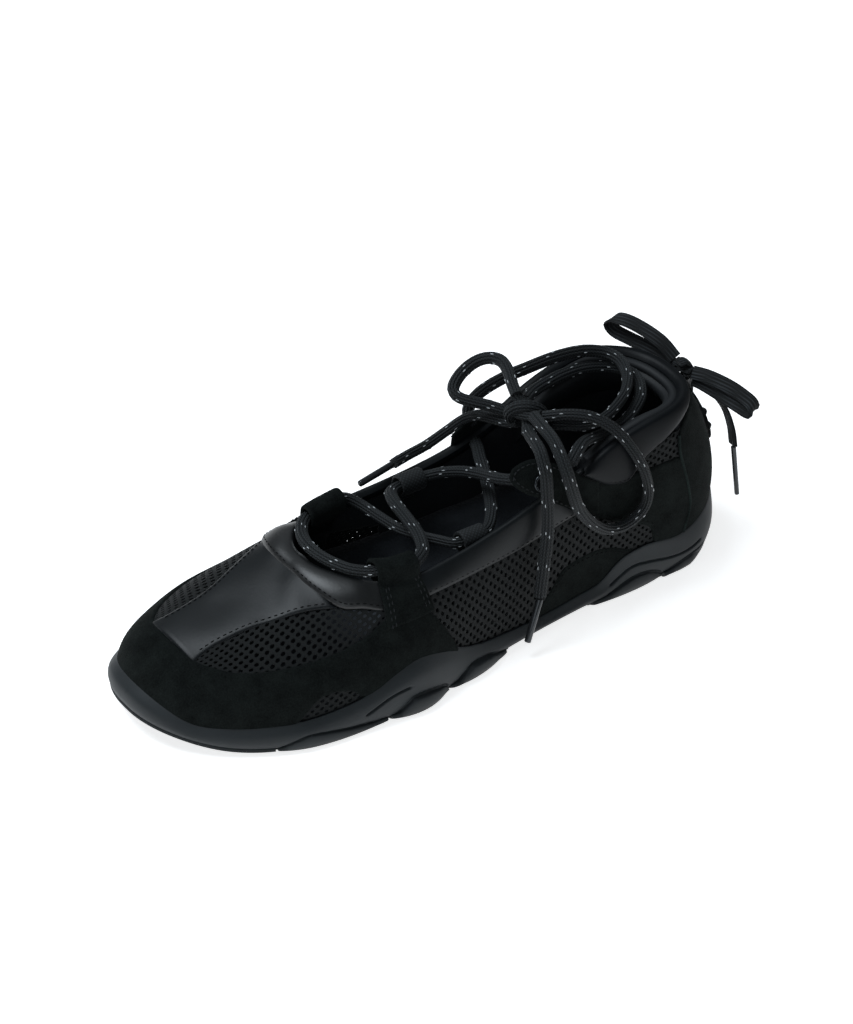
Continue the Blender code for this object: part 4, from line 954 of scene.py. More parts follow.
EYELET_WIRE = 0.6
EYELET_METAL = new_finish("black_nickel", Base_Color=colour("#3b3e41"), Metallic=1.0, Roughness=0.24)
polish = grain_of(EYELET_METAL, Scale=1 / 0.0008)
feed(EYELET_METAL, Normal=raised(EYELET_METAL, polish.outputs["Fac"], 0.1, 0.0001))
for side in SIDES:
    sheet, size = panel(WING_LOW[side], WING_TOP[side], WING_LIFT, spacing=0.9)
    y, z, radius = EYELETS[side]
    spots, normals = lay([(side * 28.0, y, z)])
    work = lay_grid(sheet, size)
    centre = spots[0] + WING_LIFT * normals[0]
    punch(work, centre, radius)
    wing = make_piece(of_side("ankle_wing", side), turn_out(work), [SUEDE],
                      [of_side("ankle_tab", side)])
    thicken(wing, WING_THICKNESS)
    eyelet_ring(of_side("eyelet", side), centre, normals[0], radius)

# Quarter suede: the large rear side panel from the ankle to the heel seam, lasted down to the rubber.
# Its front edge lies over the wing, its lower edge over the mesh.
REAR_LOW = ((30.3, 51.4, 45.8), (30.4, 59, 41.5), (30.4, 67.1, 36.8), (30.7, 77, 31.5), (30.9, 85.8, 27.0),
            (31, 88.2, 22.0), (30.9, 89.0, 17.5), (30.9, 92, 13.0), (30.4, 100, 13.0), (29.8, 106, 14.0))
REAR_TOP = ((28.6, 55.5, 61.0), (29, 62.8, 56.5), (29.3, 70, 54.6), (29.2, 76.8, 54.7), (29.6, 88.9, 53.9),
            (29.2, 101.5, 53.2), (29.1, 103.6, 46.0), (29.1, 105.6, 38.5), (29, 106.8, 28),
            (29.6, 104.6, 18.0))
for side in SIDES:
    sew_panel(of_side("quarter_suede", side), (facing(REAR_LOW, side), facing(REAR_TOP, side)),
              SUEDE, "black_suede", 1.3)

# Heel counter: stiffened suede round the back of the heel, from side seam to side seam.
# Its lower edge is bonded inside the rubber; a raw-edged suede welt covers each side seam.
COUNTER_T = (0.116, 0.085, 0.06, 0.035, 0.016, 0.005, 0.0)
COUNTER_TOP = ((28.4, 101.6, 63.0), (27.2, 103.0, 65.4), (23, 108.8, 69.2), (15.0, 114.0, 70.6),
               (7.0, 117.0, 71.2),
               (0.0, 118.0, 71.4))
SEAM = ((28.4, 101.4, 63.0), (28.8, 101.4, 55.5), (29.2, 103.6, 46), (29.1, 105.4, 38.5),
        (29, 106.8, 28), (29.9, 103.6, 17))
WELT_WIDE, COUNTER_LIFT = 1.2, 1.25


def round_heel(points):
    """Edge from one side of the shoe round the heel to the other, from the points of one half."""
    return list(facing(points, LATERAL)) + list(facing(points, MEDIAL))[-2::-1]


def lace_tube(route, width, height, sides=24, ribs=0, depth=0.0, spacing=1.6, face=None, broad=None):
    """Tube along a route, with an oval ribbed section; face or broad sets how a flat one lies."""
    line = smooth(route, spacing=spacing)
    ahead = np.gradient(line, axis=0)
    ahead /= np.linalg.norm(ahead, axis=1)[:, None]

    def square(hint, way):
        hint = hint - way * hint.dot(way)
        return hint / np.linalg.norm(hint)

    normals = []
    hint = np.array(face if face is not None else (0.0, 0.0, 1.0), float)
    if abs(hint.dot(ahead[0])) > 0.95:
        hint = np.array((1.0, 0.0, 0.0))
    for way in ahead:
        if broad is not None:
            normals.append(np.cross(square(np.array(broad, float), way), way))
        else:
            hint = square(np.array(face, float) if face is not None else hint, way)
            normals.append(hint)
    normals = np.array(normals)
    sideways = np.cross(ahead, normals)
    turn = np.linspace(0, 2 * math.pi, sides + 1)
    rib = 1 - depth * (1 - np.abs(np.sin(ribs * turn / 2)) ** 0.6)
    section_x, section_y = width / 2 * rib * np.cos(turn), height / 2 * rib * np.sin(turn)
    rings = (line[:, None] + section_x[None, :, None] * sideways[:, None]
             + section_y[None, :, None] * normals[:, None])
    length = np.linalg.norm(np.diff(line, axis=0), axis=1).sum()
    work = lay_grid(rings, (math.pi * (width + height) / 2, length))
    join_seams(work, fill=True)
    return work, line, length, normals


low = tucked_edge(COUNTER_T, LATERAL) + tucked_edge(COUNTER_T, MEDIAL)[-2::-1]
top = round_heel(COUNTER_TOP)
SUEDE_EDGE = suede_finish("raw_suede_edge", "#141918", "#262e2d")
sew_panel("heel_counter", (low, top), SUEDE, "black_suede", COUNTER_LIFT)
for side in SIDES:
    spots, normals = lay(facing(SEAM, side))
    work = lace_tube(spots + COUNTER_LIFT * normals, WELT_WIDE, WELT_WIDE, sides=12)[0]
    make_piece(of_side("heel_welt", side), work, [SUEDE_EDGE])

# Collar: a band of smooth leather round the ankle, pointed at each side, turned over the top line.
# Inside it lies a padded roll of soft lining leather, with two swellings.
COLLAR_LOW = ((28.3, 53.5, 63.0), (28.9, 60, 57.8), (29.2, 66, 53.8), (29.4, 72, 52.0), (29.4, 76.5, 52.2),
              (29.2, 80, 55.6), (29.0, 84.6, 60.0), (28.6, 93.3, 64.0), (27.0, 101.1, 67.6),
              (22, 108.8, 70.2),
              (15.0, 113.0, 71.0), (7.0, 116.0, 71.4), (0.0, 117.0, 71.6))
COLLAR_T = (0.292, 0.27, 0.24, 0.21, 0.18, 0.14, 0.10, 0.06, 0.035, 0.016, 0.005, 0.0)
low = round_heel(COLLAR_LOW)
top = [throat_edge(t, LATERAL) for t in COLLAR_T] + [throat_edge(t, MEDIAL) for t in COLLAR_T[-2::-1]]
# The collar band takes a darker, duller copy of the black leather. Its darker dye is painted shade on the
# band's front, which faces up here but lies in shade on the real shoe, where it curves in under the ankle.
SHADED_COLLAR_LEATHER = leather_finish("dull_collar_leather_painted_shade", "#06080b", "#0c1013", 0.44, 0.9, 0.14)
sew_panel("collar_band", (low, top), SHADED_COLLAR_LEATHER, "black_leather", 1.75, puff=0.8, roll=True)
ROLL_SECTION = ((-0.6, 0.0), (0.5, 0.8), (0.9, 2.2), (0.5, 3.6), (-0.9, 4.1), (-0.7, 5.0), (-0.9, 6.4),
                (-3.0, 7.8),
                (-8.0, 7.6), (-14.0, 5.0), (-20.0, 1.4), (-20.0, 0.0))
ROLL_REACH = 0.268
ROLL_LEATHER = leather_finish("soft_lining_leather", "#141618", "#1f2225", 0.6, 1.2, 0.3)
section = smooth(ROLL_SECTION + ROLL_SECTION[:1], count=57)
reach = int(np.searchsorted(SIDE_T, ROLL_REACH))
order = list(range(reach, -1, -3)) + list(range(2 * RING_PLACES - 1, 2 * RING_PLACES - 2 - reach, -3))
line = around(lambda t, side: curve(TOPLINE, SIDE_NAMES[side], t))
rolls = []
for down, depth in section:
    angles = angle_at_height(RING_T, line + down)
    rolls.append((last_ring(angles) - (WALL + CLEARANCE + depth) * ring_normals(angles))[order])
work = lay_grid(np.array(rolls))
join_seams(work, fill=True)
collar_roll = make_piece("collar_roll", work, [ROLL_LEATHER], ["collar_pad"])

# Straps: a suede strap up each side at the ball, folded over the throat edge into a lace tunnel.
# The outer end is sewn down across the guard; its free end is sewn inside the wall.
STRAP, STRAP_BACK, STRAP_MIDDLE, STRAP_LOW = 1.6, 0.593, 0.625, 36.0
STRAP_FRONT = {LATERAL: 0.656, MEDIAL: 0.664}
STRAP_SPREAD = (-0.005, 0.014)   # how far the foot of the strap runs out, back and front
TUNNEL_RADIUS, TUNNEL_IN, TUNNEL_UP = 4.0, 3.7, 4.4


def wall_point(t, angle, side, offset):
    """Point at an offset from the outer face of the upper, outwards positive."""
    step = 0.01
    here = last_points(t, angle, side)
    along = last_points(t + step, angle, side) - last_points(t - step, angle, side)
    up = last_points(t, angle + step, side) - last_points(t, angle - step, side)
    normal = np.cross(up, along) * side
    return here + offset * normal / np.linalg.norm(normal)


def fold_points(side, x, z, y, radius, first, last, count):
    """Arc of a lace fold seen along the shoe; 0 degrees points away from the foot, 90 up."""
    turn = np.radians(np.linspace(first, last, count))
    return [np.array([x + side * radius * math.cos(a), y, z + radius * math.sin(a)]) for a in turn]


def folded_piece(name, rows, thickness, finish, replaced):
    """Folded strip from rows of points, made solid on both sides of its middle, edges eased."""
    rows = np.array([smooth(row, count=64) for row in rows])
    length = np.linalg.norm(np.diff(rows[0], axis=0), axis=1).sum()
    width = np.linalg.norm(rows[-1].mean(axis=0) - rows[0].mean(axis=0))
    strip = make_piece(name, lay_grid(rows, (length, width)), [finish], replaced)
    thicken(strip, thickness, 0)
    eased = strip.modifiers.new("eased", "BEVEL")
    eased.width, eased.segments, eased.limit_method = 0.25 * thickness * MM, 2, "ANGLE"
    return strip


for side in SIDES:
    rows = []
    for t in np.linspace(STRAP_BACK, STRAP_FRONT[side], 15):
        top = float(edge_angle(np.array(t), side))
        start = float(angle_at_height(np.array([t]), STRAP_LOW)[0])
        edge = last_points(t, top, side)
        spread = np.interp(t, (STRAP_BACK, STRAP_FRONT[side]), STRAP_SPREAD)
        row = [wall_point(t + spread * (1 - k / 5), start + (top - start) * k / 5, side,
                          CLEARANCE + STRAP / 2) for k in range(6)]
        row += fold_points(side, edge[0] - side * TUNNEL_IN, edge[2] + TUNNEL_UP, edge[1], TUNNEL_RADIUS,
                           25, 245, 9)
        for drop in (0.10, 0.22, 0.34):
            row.append(wall_point(t, top - drop, side, -WALL - 2 * CLEARANCE - STRAP / 2))
        rows.append(row)
    folded_piece(of_side("lace_strap", side), rows, STRAP, SUEDE,
                 [of_side("strap", side)])

# Webbing loops: flat woven nylon tape doubled into a loop inside each edge of the throat.
# Both ends are sewn to the wall; the lace slides through.
WEB, WEBBING_RADIUS, WEB_BACK, WEB_FRONT = 1.1, 3.9, 0.458, 0.500
WEBBINGS = ((LATERAL, 24.0, 49.4, 39.0), (MEDIAL, -18.0, 51.4, 41.0))


def woven_finish(name, dark, light, pitch_mm, roughness, slants=(40.0, -40.0), relief_mm=0.18):
    """Woven yarn: two sets of threads cross at a slant and leave small bright and dark diamonds."""
    finish = new_finish(name, IOR=1.5, Roughness=roughness, Specular_IOR_Level=0.25, Sheen_Weight=0.06,
                        Sheen_Roughness=0.4)
    place = add_node(finish, "ShaderNodeTexCoord")
    waves = []
    for slant in slants:
        turned = add_node(finish, "ShaderNodeMapping", values={"Rotation": (0, 0, math.radians(slant))},
                          links={"Vector": place.outputs["UV"]})
        waves.append(add_node(finish, "ShaderNodeTexWave",
                              values={"Scale": 2 * math.pi / (20 * pitch_mm), "Distortion": 0.4},
                              links={"Vector": turned.outputs["Vector"]}))
    weave = add_node(finish, "ShaderNodeMath", {"operation": "MULTIPLY"},
                     links={0: waves[0].outputs["Fac"], 1: waves[1].outputs["Fac"]})
    feed(finish, Base_Color=dyed(finish, dark, light, weave.outputs[0]),
         Normal=raised(finish, weave.outputs[0], 0.35, relief_mm * MM))
    return finish


NYLON_TAPE = woven_finish("woven_nylon_tape", "#141617", "#2e3235", 1.1, 0.65)
for side, x, z, low in WEBBINGS:
    rows = []
    for t in np.linspace(WEB_BACK, WEB_FRONT, 11):
        top = float(angle_at_height(np.array([t]), z - 4.0)[0])
        start = float(angle_at_height(np.array([t]), low)[0])
        inner = -WALL - CLEARANCE - WEB / 2
        row = [wall_point(t, a, side, inner) for a in np.linspace(start, top, 3)]
        row += fold_points(side, x, z, row[-1][1], WEBBING_RADIUS, 0, 262, 10)
        row += [wall_point(t, a, side, inner - WEB - CLEARANCE) for a in np.linspace(top - 0.06, start, 3)]
        rows.append(row)
    folded_piece(of_side("webbing_loop", side), rows, WEB, NYLON_TAPE,
                 [of_side("webbing", side)])

# Main lace: an oval braided lace with lengthwise ribs and pairs of white marker stitches.
# It runs through tunnels, loops and eyelets, round the collar, and is tied in a bow with two ends.
LACE_WIDE, LACE_THICK, LACE_RIBS, RIB_DEPTH = 5.1, 4.2, 10, 0.24
FLECK_PITCH, FLECK_SEAT, FLECK_HALF = 13.5, 0.95, (0.85, 0.21, 0.3)
AGLET_WIDE, TIP_TAPER, TIP_ROUND = 2.9, 0.92, 0.5
LACE_CROSSINGS = (
    (22.6, 36.0, 64.6), (21.6, 31.0, 65.4), (20.2, 27.0, 66.2), (17.0, 24.8, 65.4), (12.0, 24.5, 63.4),
    (3.0, 24.2, 60.0), (-6.0, 22.6, 56.6), (-13.4, 18.4, 53.6),
    (-17.6, 12.0, 51.6), (-18.0, 6.0, 51.4), (-17.6, 0.0, 51.6), (-14.2, -6.0, 53.0), (-5.0, -10.0, 54.6),
    (6.0, -12.0, 54.8), (16.0, -13.6, 53.6), (23.6, -17.0, 52.6), (27.6, -22.6, 52.5), (28.0, -24.6, 52.5),
    (26.2, -32.0, 52.4), (23.2, -39.6, 52.0), (22.0, -41.8, 52.0), (17.0, -46.8, 52.2), (8.0, -50.6, 52.6),
    (-1.0, -51.6, 52.6), (-9.0, -50.2, 52.5), (-16.0, -46.2, 52.2), (-20.0, -41.6, 52.0),
    (-20.6, -39.6, 52.0), (-22.2, -32.0, 52.4), (-22.9, -24.6, 52.5), (-22.0, -20.4, 51.4),
    (-17.0, -16.8, 49.2), (-8.5, -14.6, 47.9), (2.0, -12.6, 47.8), (11.0, -9.6, 48.8), (18.0, -5.6, 49.3),
    (22.6, -2.4, 49.4), (23.8, 1.2, 49.4), (24.0, 6.0, 49.4), (23.8, 10.6, 49.4), (21.6, 15.4, 49.8),
    (14.0, 22.0, 50.6), (4.0, 27.9, 50.8), (-5.0, 32.5, 51.4), (-13.6, 36.0, 53.6), (-19.0, 38.6, 54.6),
    (-23.6, 40.4, 54.2),
)
WRAP_FROM_MEDIAL = (
    (-25.6, 41.0, 61.2), (-28.4, 41.2, 62.2), (-30.6, 42.6, 65.8), (-29.8, 47.4, 71.2),
    (-27.0, 56.0, 76.0), (-25.0, 66.0, 78.2), (-23.6, 79.0, 79.4),
    (-21.6, 91.0, 79.0), (-17.0, 99.4, 77.6), (-9.5, 101.6, 76.4), (-1.0, 98.2, 75.2), (7.0, 91.0, 75.0),
    (13.6, 81.0, 75.2), (17.4, 71.6, 75.4), (17.2, 63.6, 75.6), (12.6, 57.6, 75.4), (9.2, 54.2, 75.2),
)
WRAP_FROM_LATERAL = (
    (31.2, 46.6, 72.4), (28.4, 51.6, 74.2), (24.4, 57.8, 74.0), (20.2, 66.0, 70.8), (17.8, 75.0, 68.6),
    (15.6, 84.0, 68.4), (11.6, 92.4, 69.2), (6.2, 99.4, 70.6), (-1.6, 103.8, 71.6), (-9.6, 104.6, 71.2),
    (-15.6, 99.6, 71.6), (-18.4, 90.0, 73.2), (-18.8, 80.0, 73.8), (-18.0, 71.0, 73.4), (-14.6, 61.6, 74.4),
    (-9.6, 54.6, 76.0),
)
KNOT_PLACE = (-1.0, 48.5, 75.6)
LOOP_LEFT = (
    (-9.0, 45.6, 74.4), (-14.5, 40.6, 76.0), (-19.5, 35.4, 77.2), (-23.4, 32.2, 78.2), (-26.6, 32.0, 80.0),
    (-29.0, 35.4, 82.2), (-30.2, 40.8, 84.8), (-29.4, 46.0, 87.0), (-26.6, 50.0, 88.2), (-22.6, 52.2, 88.0),
    (-17.6, 51.8, 86.4), (-12.4, 50.0, 84.0), (-7.4, 48.6, 82.0),
)
LOOP_RIGHT = (
    (7.6, 50.4, 79.4), (13.6, 57.6, 81.0), (19.6, 65.0, 80.4), (26.0, 71.4, 76.0), (31.4, 76.2, 68.0),
    (34.2, 80.4, 58.0), (34.8, 82.6, 48.0), (35.0, 81.0, 40.8), (35.2, 75.5, 36.6), (35.2, 67.9, 35.4),
    (35.6, 60.2, 38.6), (36.2, 53.0, 45.4), (36.8, 47.0, 54.4), (37.2, 43.4, 64.0), (34.6, 41.8, 73.6),
    (25.0, 43.4, 79.8), (14.0, 45.4, 80.4), (6.6, 46.4, 81.0),
)
END_LEFT = (
    (-2.6, 46.6, 72.6), (-8.4, 44.4, 70.4), (-15.0, 42.4, 69.2), (-21.4, 40.2, 67.8),
    (-26.4, 37.0, 64.2), (-29.8, 31.0, 58.8),
    (-30.6, 22.0, 55.2), (-28.8, 12.4, 55.4), (-26.2, 3.6, 56.2),
)
AGLET_LEFT = ((-26.0, 2.9, 56.2), (-22.6, -15.0, 55.8))
END_RIGHT = (
    (4.0, 46.0, 73.4), (11.6, 41.8, 76.0), (20.0, 37.6, 79.4), (27.4, 35.0, 79.6), (32.6, 33.8, 73.6),
    (34.6, 33.2, 66.0), (35.8, 33.0, 58.0), (37.2, 32.0, 48.0), (39.2, 29.4, 38.0), (41.6, 25.9, 23.6),
)
AGLET_RIGHT = ((41.7, 25.8, 22.9), (45.0, 17.8, 7.0))
BRAID = woven_finish("braided_black_lace", "#111314", "#2d3235", 0.9, 0.66)
MARKER = new_finish("white_marker_yarn", Base_Color=colour("#bcc0c3"), Roughness=0.6, IOR=1.5)
fuzz = grain_of(MARKER, Scale=1 / 0.0004)
feed(MARKER, Normal=raised(MARKER, fuzz.outputs["Fac"], 0.4, 0.0001))
GLOSSY_TIP = new_finish("glossy_film_tip", Base_Color=colour("#37393b"), Metallic=0.6, Roughness=0.16,
                         IOR=1.5)
film = grain_of(GLOSSY_TIP, Scale=1 / 0.004)
feed(GLOSSY_TIP, Normal=raised(GLOSSY_TIP, film.outputs["Fac"], 0.15, 0.0002))


def bead(work, place, ahead, out, half, index=0):
    """Small rounded grain set on a surface, longest along ahead, flat along out."""
    ahead = Vector(ahead).normalized()
    across = Vector(out).cross(ahead).normalized()
    lift = ahead.cross(across)
    turn = Matrix.Identity(4)
    for k, (axis, reach) in enumerate(((ahead, half[0]), (across, half[1]), (lift, half[2]))):
        for row in range(3):
            turn[row][k] = axis[row] * reach * MM
    for row in range(3):
        turn[row][3] = place[row] * MM
    made = bmesh.ops.create_uvsphere(work, u_segments=6, v_segments=4, radius=1, matrix=turn)
    for vertex in made["verts"]:
        for face in vertex.link_faces:
            face.material_index = index


def braided_lace(name, route, replaced):
    """Length of the main lace with its marker stitches; gives the piece, its line and its length."""
    work, line, length, normals = lace_tube(route, LACE_WIDE, LACE_THICK, 60, LACE_RIBS, RIB_DEPTH, 1.5)
    ahead = np.gradient(line, axis=0)
    spots = np.arange(6.0, length - 3.0, FLECK_PITCH)
    step = length / (len(line) - 1)
    for number, at in enumerate(spots):
        for shift, turn in ((0.0, 0.25), (2.4, 0.85), (0.0, 2.3), (2.4, 2.9), (0.0, 4.4), (2.4, 5.0)):
            k = min(int((at + shift) / step), len(line) - 1)
            side = np.cross(ahead[k] / np.linalg.norm(ahead[k]), normals[k])
            turn = turn + number * 0.7
            across, up = math.cos(turn) * side, math.sin(turn) * normals[k]
            place = line[k] + FLECK_SEAT * (LACE_WIDE / 2 * across + LACE_THICK / 2 * up)
            bead(work, place, ahead[k], across + up, FLECK_HALF, 1)
    return make_piece(name, work, [BRAID, MARKER], replaced), line, length


def declare_run(run, count):
    """Works out places along a free run of lace, from its knot or eyelet to its far end; the list is not
    kept.
    """
    piece, line, length = run
    [tuple(p * MM) for p in smooth(line, count=count)]


def lace_tip(name, ends, width, replaced):
    """Aglet: a tight film sleeve, a little waisted at its mouth and rounded at its end."""
    a, b = np.array(ends[0], float), np.array(ends[1], float)
    work = bmesh.new()
    length = np.linalg.norm(b - a)
    bmesh.ops.create_cone(work, cap_ends=True, segments=20, radius1=width / 2 * MM,
                          radius2=width / 2 * MM * TIP_TAPER, depth=length * MM)
    rims = [edge for edge in work.edges if len(edge.link_faces) == 2
            and edge.link_faces[0].normal.angle(edge.link_faces[1].normal) > 1.0]
    bmesh.ops.bevel(work, geom=rims, offset=TIP_ROUND * MM, offset_type="OFFSET", affect="EDGES",
                    segments=3, profile=0.5, material=-1)
    turn = Vector(b - a).to_track_quat("Z", "Y").to_matrix().to_4x4()
    bmesh.ops.transform(work, matrix=Matrix.Translation(Vector((a + b) / 2) * MM) @ turn, verts=work.verts)
    bmesh.ops.recalc_face_normals(work, faces=work.faces)
    return make_piece(name, work, [GLOSSY_TIP], [replaced])


braided_lace("lace_run", LACE_CROSSINGS, ["lace_crossings"])
FREE_RUNS = (
    # name, route, CAD node, how it lies
    ("lace_collar_medial", WRAP_FROM_MEDIAL, "lace_wrap_medial", "loose"),
    ("lace_collar_lateral", WRAP_FROM_LATERAL, "lace_wrap_lateral", "loose"),
    ("bow_loop_left", LOOP_LEFT, "lace_loop_left", "loose"),
    ("bow_loop_right", LOOP_RIGHT, "lace_loop_right", "hanging"),
)
for name, route, node, lay_kind in FREE_RUNS:
    declare_run(braided_lace(name, route, [node]), 40)
tip_left = lace_tip("lace_tip_left", AGLET_LEFT, AGLET_WIDE, "aglet_left")
tip_right = lace_tip("lace_tip_right", AGLET_RIGHT, AGLET_WIDE, "aglet_right")
end_left = braided_lace("bow_end_left", END_LEFT, ["lace_end_left"])
declare_run(end_left, 40)
end_right = braided_lace("bow_end_right", END_RIGHT, ["lace_end_right"])
declare_run(end_right, 40)
KNOT_STRANDS = (
    # the turn round the middle, then the two crossing strands under it
    ((-3.4, 2.0, -4.6), (-4.4, -3.4, -2.6), (-3.6, -5.2, 1.4), (-1.0, -3.4, 4.8), (2.4, 0.8, 5.4),
     (4.2, 4.4, 2.8),
     (3.6, 5.4, -1.2), (1.6, 3.6, -4.6)),
    ((-8.0, -2.6, -1.0), (-4.6, -3.2, 1.0), (0.0, -2.4, 1.8), (4.4, -0.4, 2.6), (7.4, 2.0, 3.6)),
    ((-7.6, 0.8, 5.4), (-3.6, 1.0, 3.0), (0.6, 0.0, 0.4), (4.6, -2.0, -1.8), (7.0, -4.0, -3.6)),
    ((-8.4, 5.6, 0.4), (-4.0, 4.4, -0.6), (0.6, 3.8, -1.2), (5.2, 4.6, -0.8), (9.0, 5.6, -0.4)),
)


def tie_knot(name, strands, middle, finish, node, *section):
    """Knot of short strands round its middle, joined into one piece."""
    knot = bmesh.new()
    for strand in strands:
        work = lace_tube(np.array(strand) + np.array(middle), *section)[0]
        scrap = bpy.data.meshes.new("strand")
        work.to_mesh(scrap)
        work.free()
        knot.from_mesh(scrap)
        bpy.data.meshes.remove(scrap)
    make_piece(name, knot, [finish], [node])


tie_knot("bow_knot", KNOT_STRANDS, KNOT_PLACE, BRAID, "lace_knot",
         LACE_WIDE, LACE_THICK, 60, LACE_RIBS, RIB_DEPTH, 1.2)

# Heel lace: a flat ribbed lace down each side of the heel through four small cord loops.
# It is tied in a small bow above them, with two hanging ends in long tips.
FLAT_WIDE, FLAT_THICK, FLAT_KNOT_THICK, HEEL_TIP_WIDE = 5.8, 1.3, 1.8, 2.2
FLAT_RIBS = (72, 12, 0.22)     # points round the section, ribs and their depth
HEEL_LACING = (
    (2.6, 124.2, 65.7), (4.0, 125.0, 62.6), (6.0, 127.4, 57.6), (7.6, 130.0, 51.0), (8.4, 132.0, 44.0),
    (6.4, 133.4, 39.4),
    (0.0, 134.0, 37.6), (-6.4, 133.4, 39.4), (-8.4, 132.0, 44.0), (-7.6, 130.0, 51.0), (-6.0, 127.4, 57.6),
    (-4.0, 125.0, 62.6), (-2.6, 124.2, 65.7),
)
HEEL_LOOPS = (("heel_loop_upper_lateral", 7.2, 53.0), ("heel_loop_upper_medial", -7.2, 53.0),
              ("heel_loop_lower_lateral", 8.3, 45.0), ("heel_loop_lower_medial", -8.3, 45.0))
LOOP_CORD, LOOP_REACH = 1.7, 2.6
HEEL_KNOT_PLACE = (0.0, 125.0, 69.8)
HEEL_BOW_LATERAL = (
    (4.8, 126.4, 70.2), (11.0, 130.0, 70.0), (19.0, 134.4, 68.0), (26.0, 137.4, 65.2), (28.8, 138.2, 63.6),
    (29.6, 138.0, 61.4), (28.4, 137.0, 60.0), (23.4, 134.6, 61.8), (15.0, 131.2, 64.4),
    (9.0, 128.6, 66.2), (5.2, 126.8, 67.0),
)
HEEL_BOW_MEDIAL = (
    (-5.6, 125.6, 71.6), (-12.0, 123.6, 76.4), (-19.6, 120.6, 79.4), (-27.0, 117.0, 81.2),
    (-32.0, 114.6, 80.4),
    (-33.8, 114.0, 77.2), (-31.6, 115.2, 74.4), (-26.0, 117.8, 73.0), (-19.0, 120.8, 71.8),
    (-12.0, 123.2, 70.2),
    (-5.8, 125.4, 68.2),
)
HEEL_END = ((2.2, 127.7, 66.6), (6.8, 133.2, 61.0), (11.4, 138.0, 53.0), (14.0, 140.2, 44.0),
            (15.2, 141.0, 35.6))
HEEL_AGLET = ((15.3, 141.1, 34.9), (17.8, 142.4, 12.0))
HEEL_BACKWARDS = (0.0, 1.0, 0.25)
RIBBED = woven_finish("flat_ribbed_lace", "#0b0d0e", "#2f3336", 0.95, 0.7, (0.0, 4.0), 0.5)


def flat_lace(name, route, replaced, face=None, broad=None):
    """Length of the flat heel lace."""
    work, line, length, _ = lace_tube(route, FLAT_WIDE, FLAT_THICK, *FLAT_RIBS, 1.2, face, broad)
    return make_piece(name, work, [RIBBED], replaced), line, length


flat_lace("heel_lace_run", HEEL_LACING, ["heel_lacing"], face=HEEL_BACKWARDS)
for name, x, z in HEEL_LOOPS:
    spots, normals = lay([(x, 140.0, z)])
    centre, out = spots[0], normals[0]
    sideways = np.cross((0.0, 0.0, 1.0), out)
    sideways /= np.linalg.norm(sideways)
    arch = [centre + LOOP_REACH * math.cos(a) * sideways + (0.9 + 3.3 * math.sin(a)) * out
            for a in np.radians(np.linspace(0, 180, 9))]
    work = lace_tube(arch, LOOP_CORD, LOOP_CORD, 14, 5, 0.12, 0.7)[0]
    make_piece(name + "_cord", work, [BRAID], [name])
HEEL_LOOP_RUNS = (
    # name, route, CAD node, the direction that the lace's breadth follows
    ("heel_bow_loop_lateral", HEEL_BOW_LATERAL, "heel_bow_lateral", (-0.06, 0.74, 0.67)),
    ("heel_bow_loop_medial", HEEL_BOW_MEDIAL, "heel_bow_medial", (0.25, 0.85, 0.45)),
)
for name, route, node, breadth in HEEL_LOOP_RUNS:
    declare_run(flat_lace(name, route, [node], broad=breadth), 30)
for side in SIDES:
    flip = np.array((side, 1.0, 1.0))
    tip = lace_tip(of_side("heel_tip", side), np.array(HEEL_AGLET) * flip, HEEL_TIP_WIDE,
                   of_side("heel_aglet", side))
    run = flat_lace(of_side("heel_lace_end", side), np.array(HEEL_END) * flip,
                    [of_side("heel_end", side)], face=HEEL_BACKWARDS)
    declare_run(run, 20)
HEEL_KNOT_STRANDS = (
    ((0.0, -2.4, -3.6), (0.4, 1.4, -3.4), (0.6, 3.2, 0.0), (0.4, 1.4, 3.4), (0.0, -2.2, 3.6)),
    ((-5.0, 0.4, 1.2), (-2.0, 1.4, 0.6), (2.0, 1.4, -0.4), (4.6, 1.0, -1.2)),
    ((-5.2, 0.4, -1.6), (-2.0, 0.6, -1.0), (2.0, 0.8, 0.6), (4.6, 1.2, 1.0)),
)
tie_knot("heel_bow_knot", HEEL_KNOT_STRANDS, HEEL_KNOT_PLACE, RIBBED, "heel_knot",
         FLAT_WIDE, FLAT_KNOT_THICK, *FLAT_RIBS, 0.8)

# Stitching: black waxed thread in short lockstitches along the borders of the panels.
# Double rows of grey thread hold the straps, single rows the other edges.
THREAD = new_finish("waxed_black_thread", Base_Color=colour("#0a0b0c"), Roughness=0.85, IOR=1.5,
                    Specular_IOR_Level=0.12)
GREY_THREAD = new_finish("waxed_grey_thread", Base_Color=colour("#1b1e20"), Roughness=0.7, IOR=1.5,
                         Specular_IOR_Level=0.25)
for thread in (THREAD, GREY_THREAD):
    twist = grain_of(thread, Scale=1 / 0.0003)
    feed(thread, Normal=raised(thread, twist.outputs["Fac"], 0.4, 0.0001))
STITCH_PITCH, STITCH_HALF = 2.5, (0.85, 0.26, 0.24)
STITCH_SEAT, SEAT_REACH = 0.05, 5.0   # height over the leather; where the search for it starts
STRAP_STITCH = CLEARANCE + STRAP + 0.1
stitch_work = bmesh.new()


def face_of(piece):
    """Search tree of a sewn piece's outer face."""
    work = bmesh.new()
    work.from_mesh(piece.data)
    tree = BVHTree.FromBMesh(work)
    work.free()
    return tree


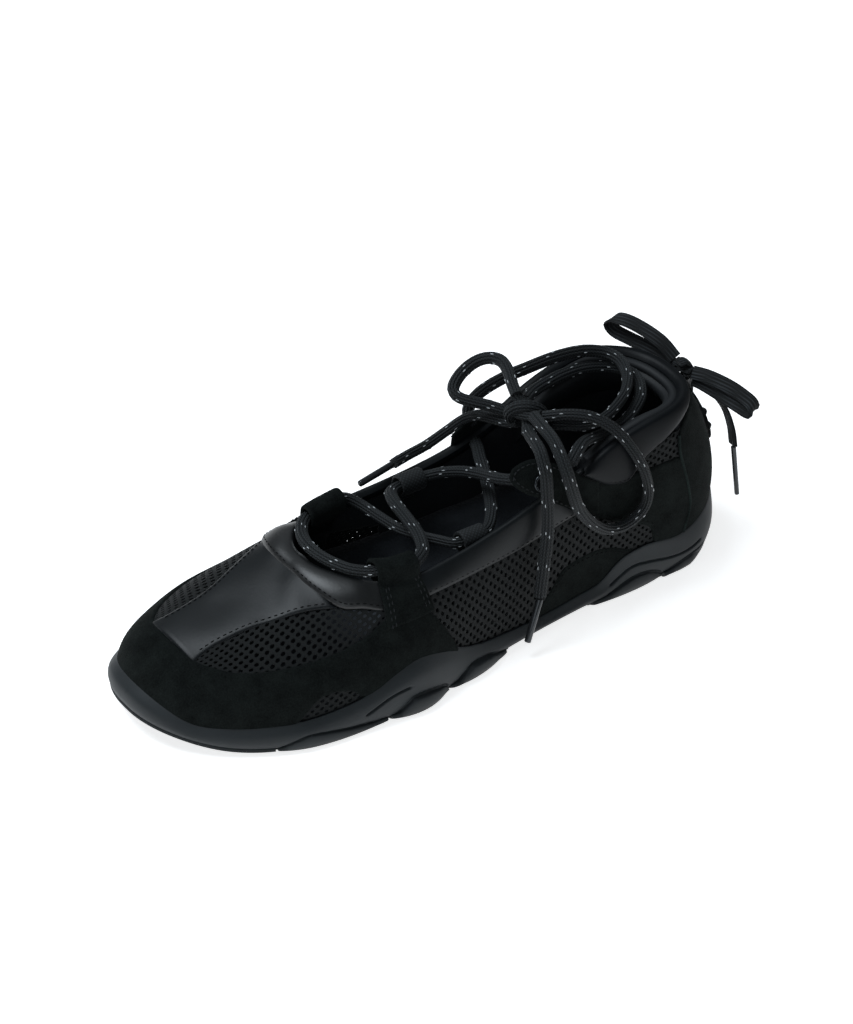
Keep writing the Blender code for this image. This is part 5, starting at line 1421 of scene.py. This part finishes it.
def sew(route, inset, lift, side, thread=0, leather=None):
    """Row of stitches beside a route on the last, inset to one side of it."""
    spots, normals = lay(smooth(route, spacing=STITCH_PITCH))
    ahead = np.gradient(spots, axis=0)
    across = np.cross(normals, ahead)
    across /= np.linalg.norm(across, axis=1)[:, None]
    spots, normals = lay(spots + across * inset * side)
    for spot, way, out in zip(spots, ahead, normals):
        seat = spot + lift * out
        if leather:
            found = leather.ray_cast(Vector((spot + SEAT_REACH * out) * MM), Vector(-out))[0]
            if found is None:
                continue
            seat = np.array(found) / MM + STITCH_SEAT * out
        bead(stitch_work, seat, way, out, STITCH_HALF, thread)


for side in SIDES:
    sew(facing(VAMP_EDGE[1:], side), 2.0, LEATHER_LIFT, side, leather=face_of(vamp))
    sew(facing(BAND_LOW, side), 1.8, LEATHER_LIFT, side, leather=face_of(band))
    for route, inset, lift in ((GUARD_TOP[1:], -1.8, SUEDE_LIFT),
                               (TRIM_LOW[1:5], 1.6, 1.15), (LOW_PATCH_TOP[2:8], -1.8, 1.0),
                               (REAR_LOW[:6], 1.9, 1.3), (COLLAR_LOW[1:9], 1.7, 1.9)):
        sew(facing(route, side), inset, lift, side)
    sew(WING_TOP[side][:6], -1.6, WING_LIFT, side, 1)
    sew(WING_LOW[side][:6], 1.6, WING_LIFT, side, 1)
    strap_top = float(edge_angle(np.array(STRAP_MIDDLE), side))
    strap_start = float(angle_at_height(np.array([STRAP_MIDDLE]), STRAP_LOW)[0])
    front = STRAP_FRONT[side]
    for t in (STRAP_BACK + 0.005, STRAP_BACK + 0.010, front - 0.010, front - 0.005):
        spread = np.interp(t, (STRAP_BACK, STRAP_FRONT[side]), STRAP_SPREAD)
        sew([last_points(t + spread * (1 - k), strap_start + (strap_top - strap_start) * k, side)
             for k in np.linspace(0.14, 1.0, 6)], 0.0, STRAP_STITCH, side, 1)
    sew([last_points(t, strap_start + 0.05, side) for t in np.linspace(STRAP_BACK, front + 0.004, 5)],
        0.0, STRAP_STITCH, side)
make_piece("stitching", stitch_work, [THREAD, GREY_THREAD])
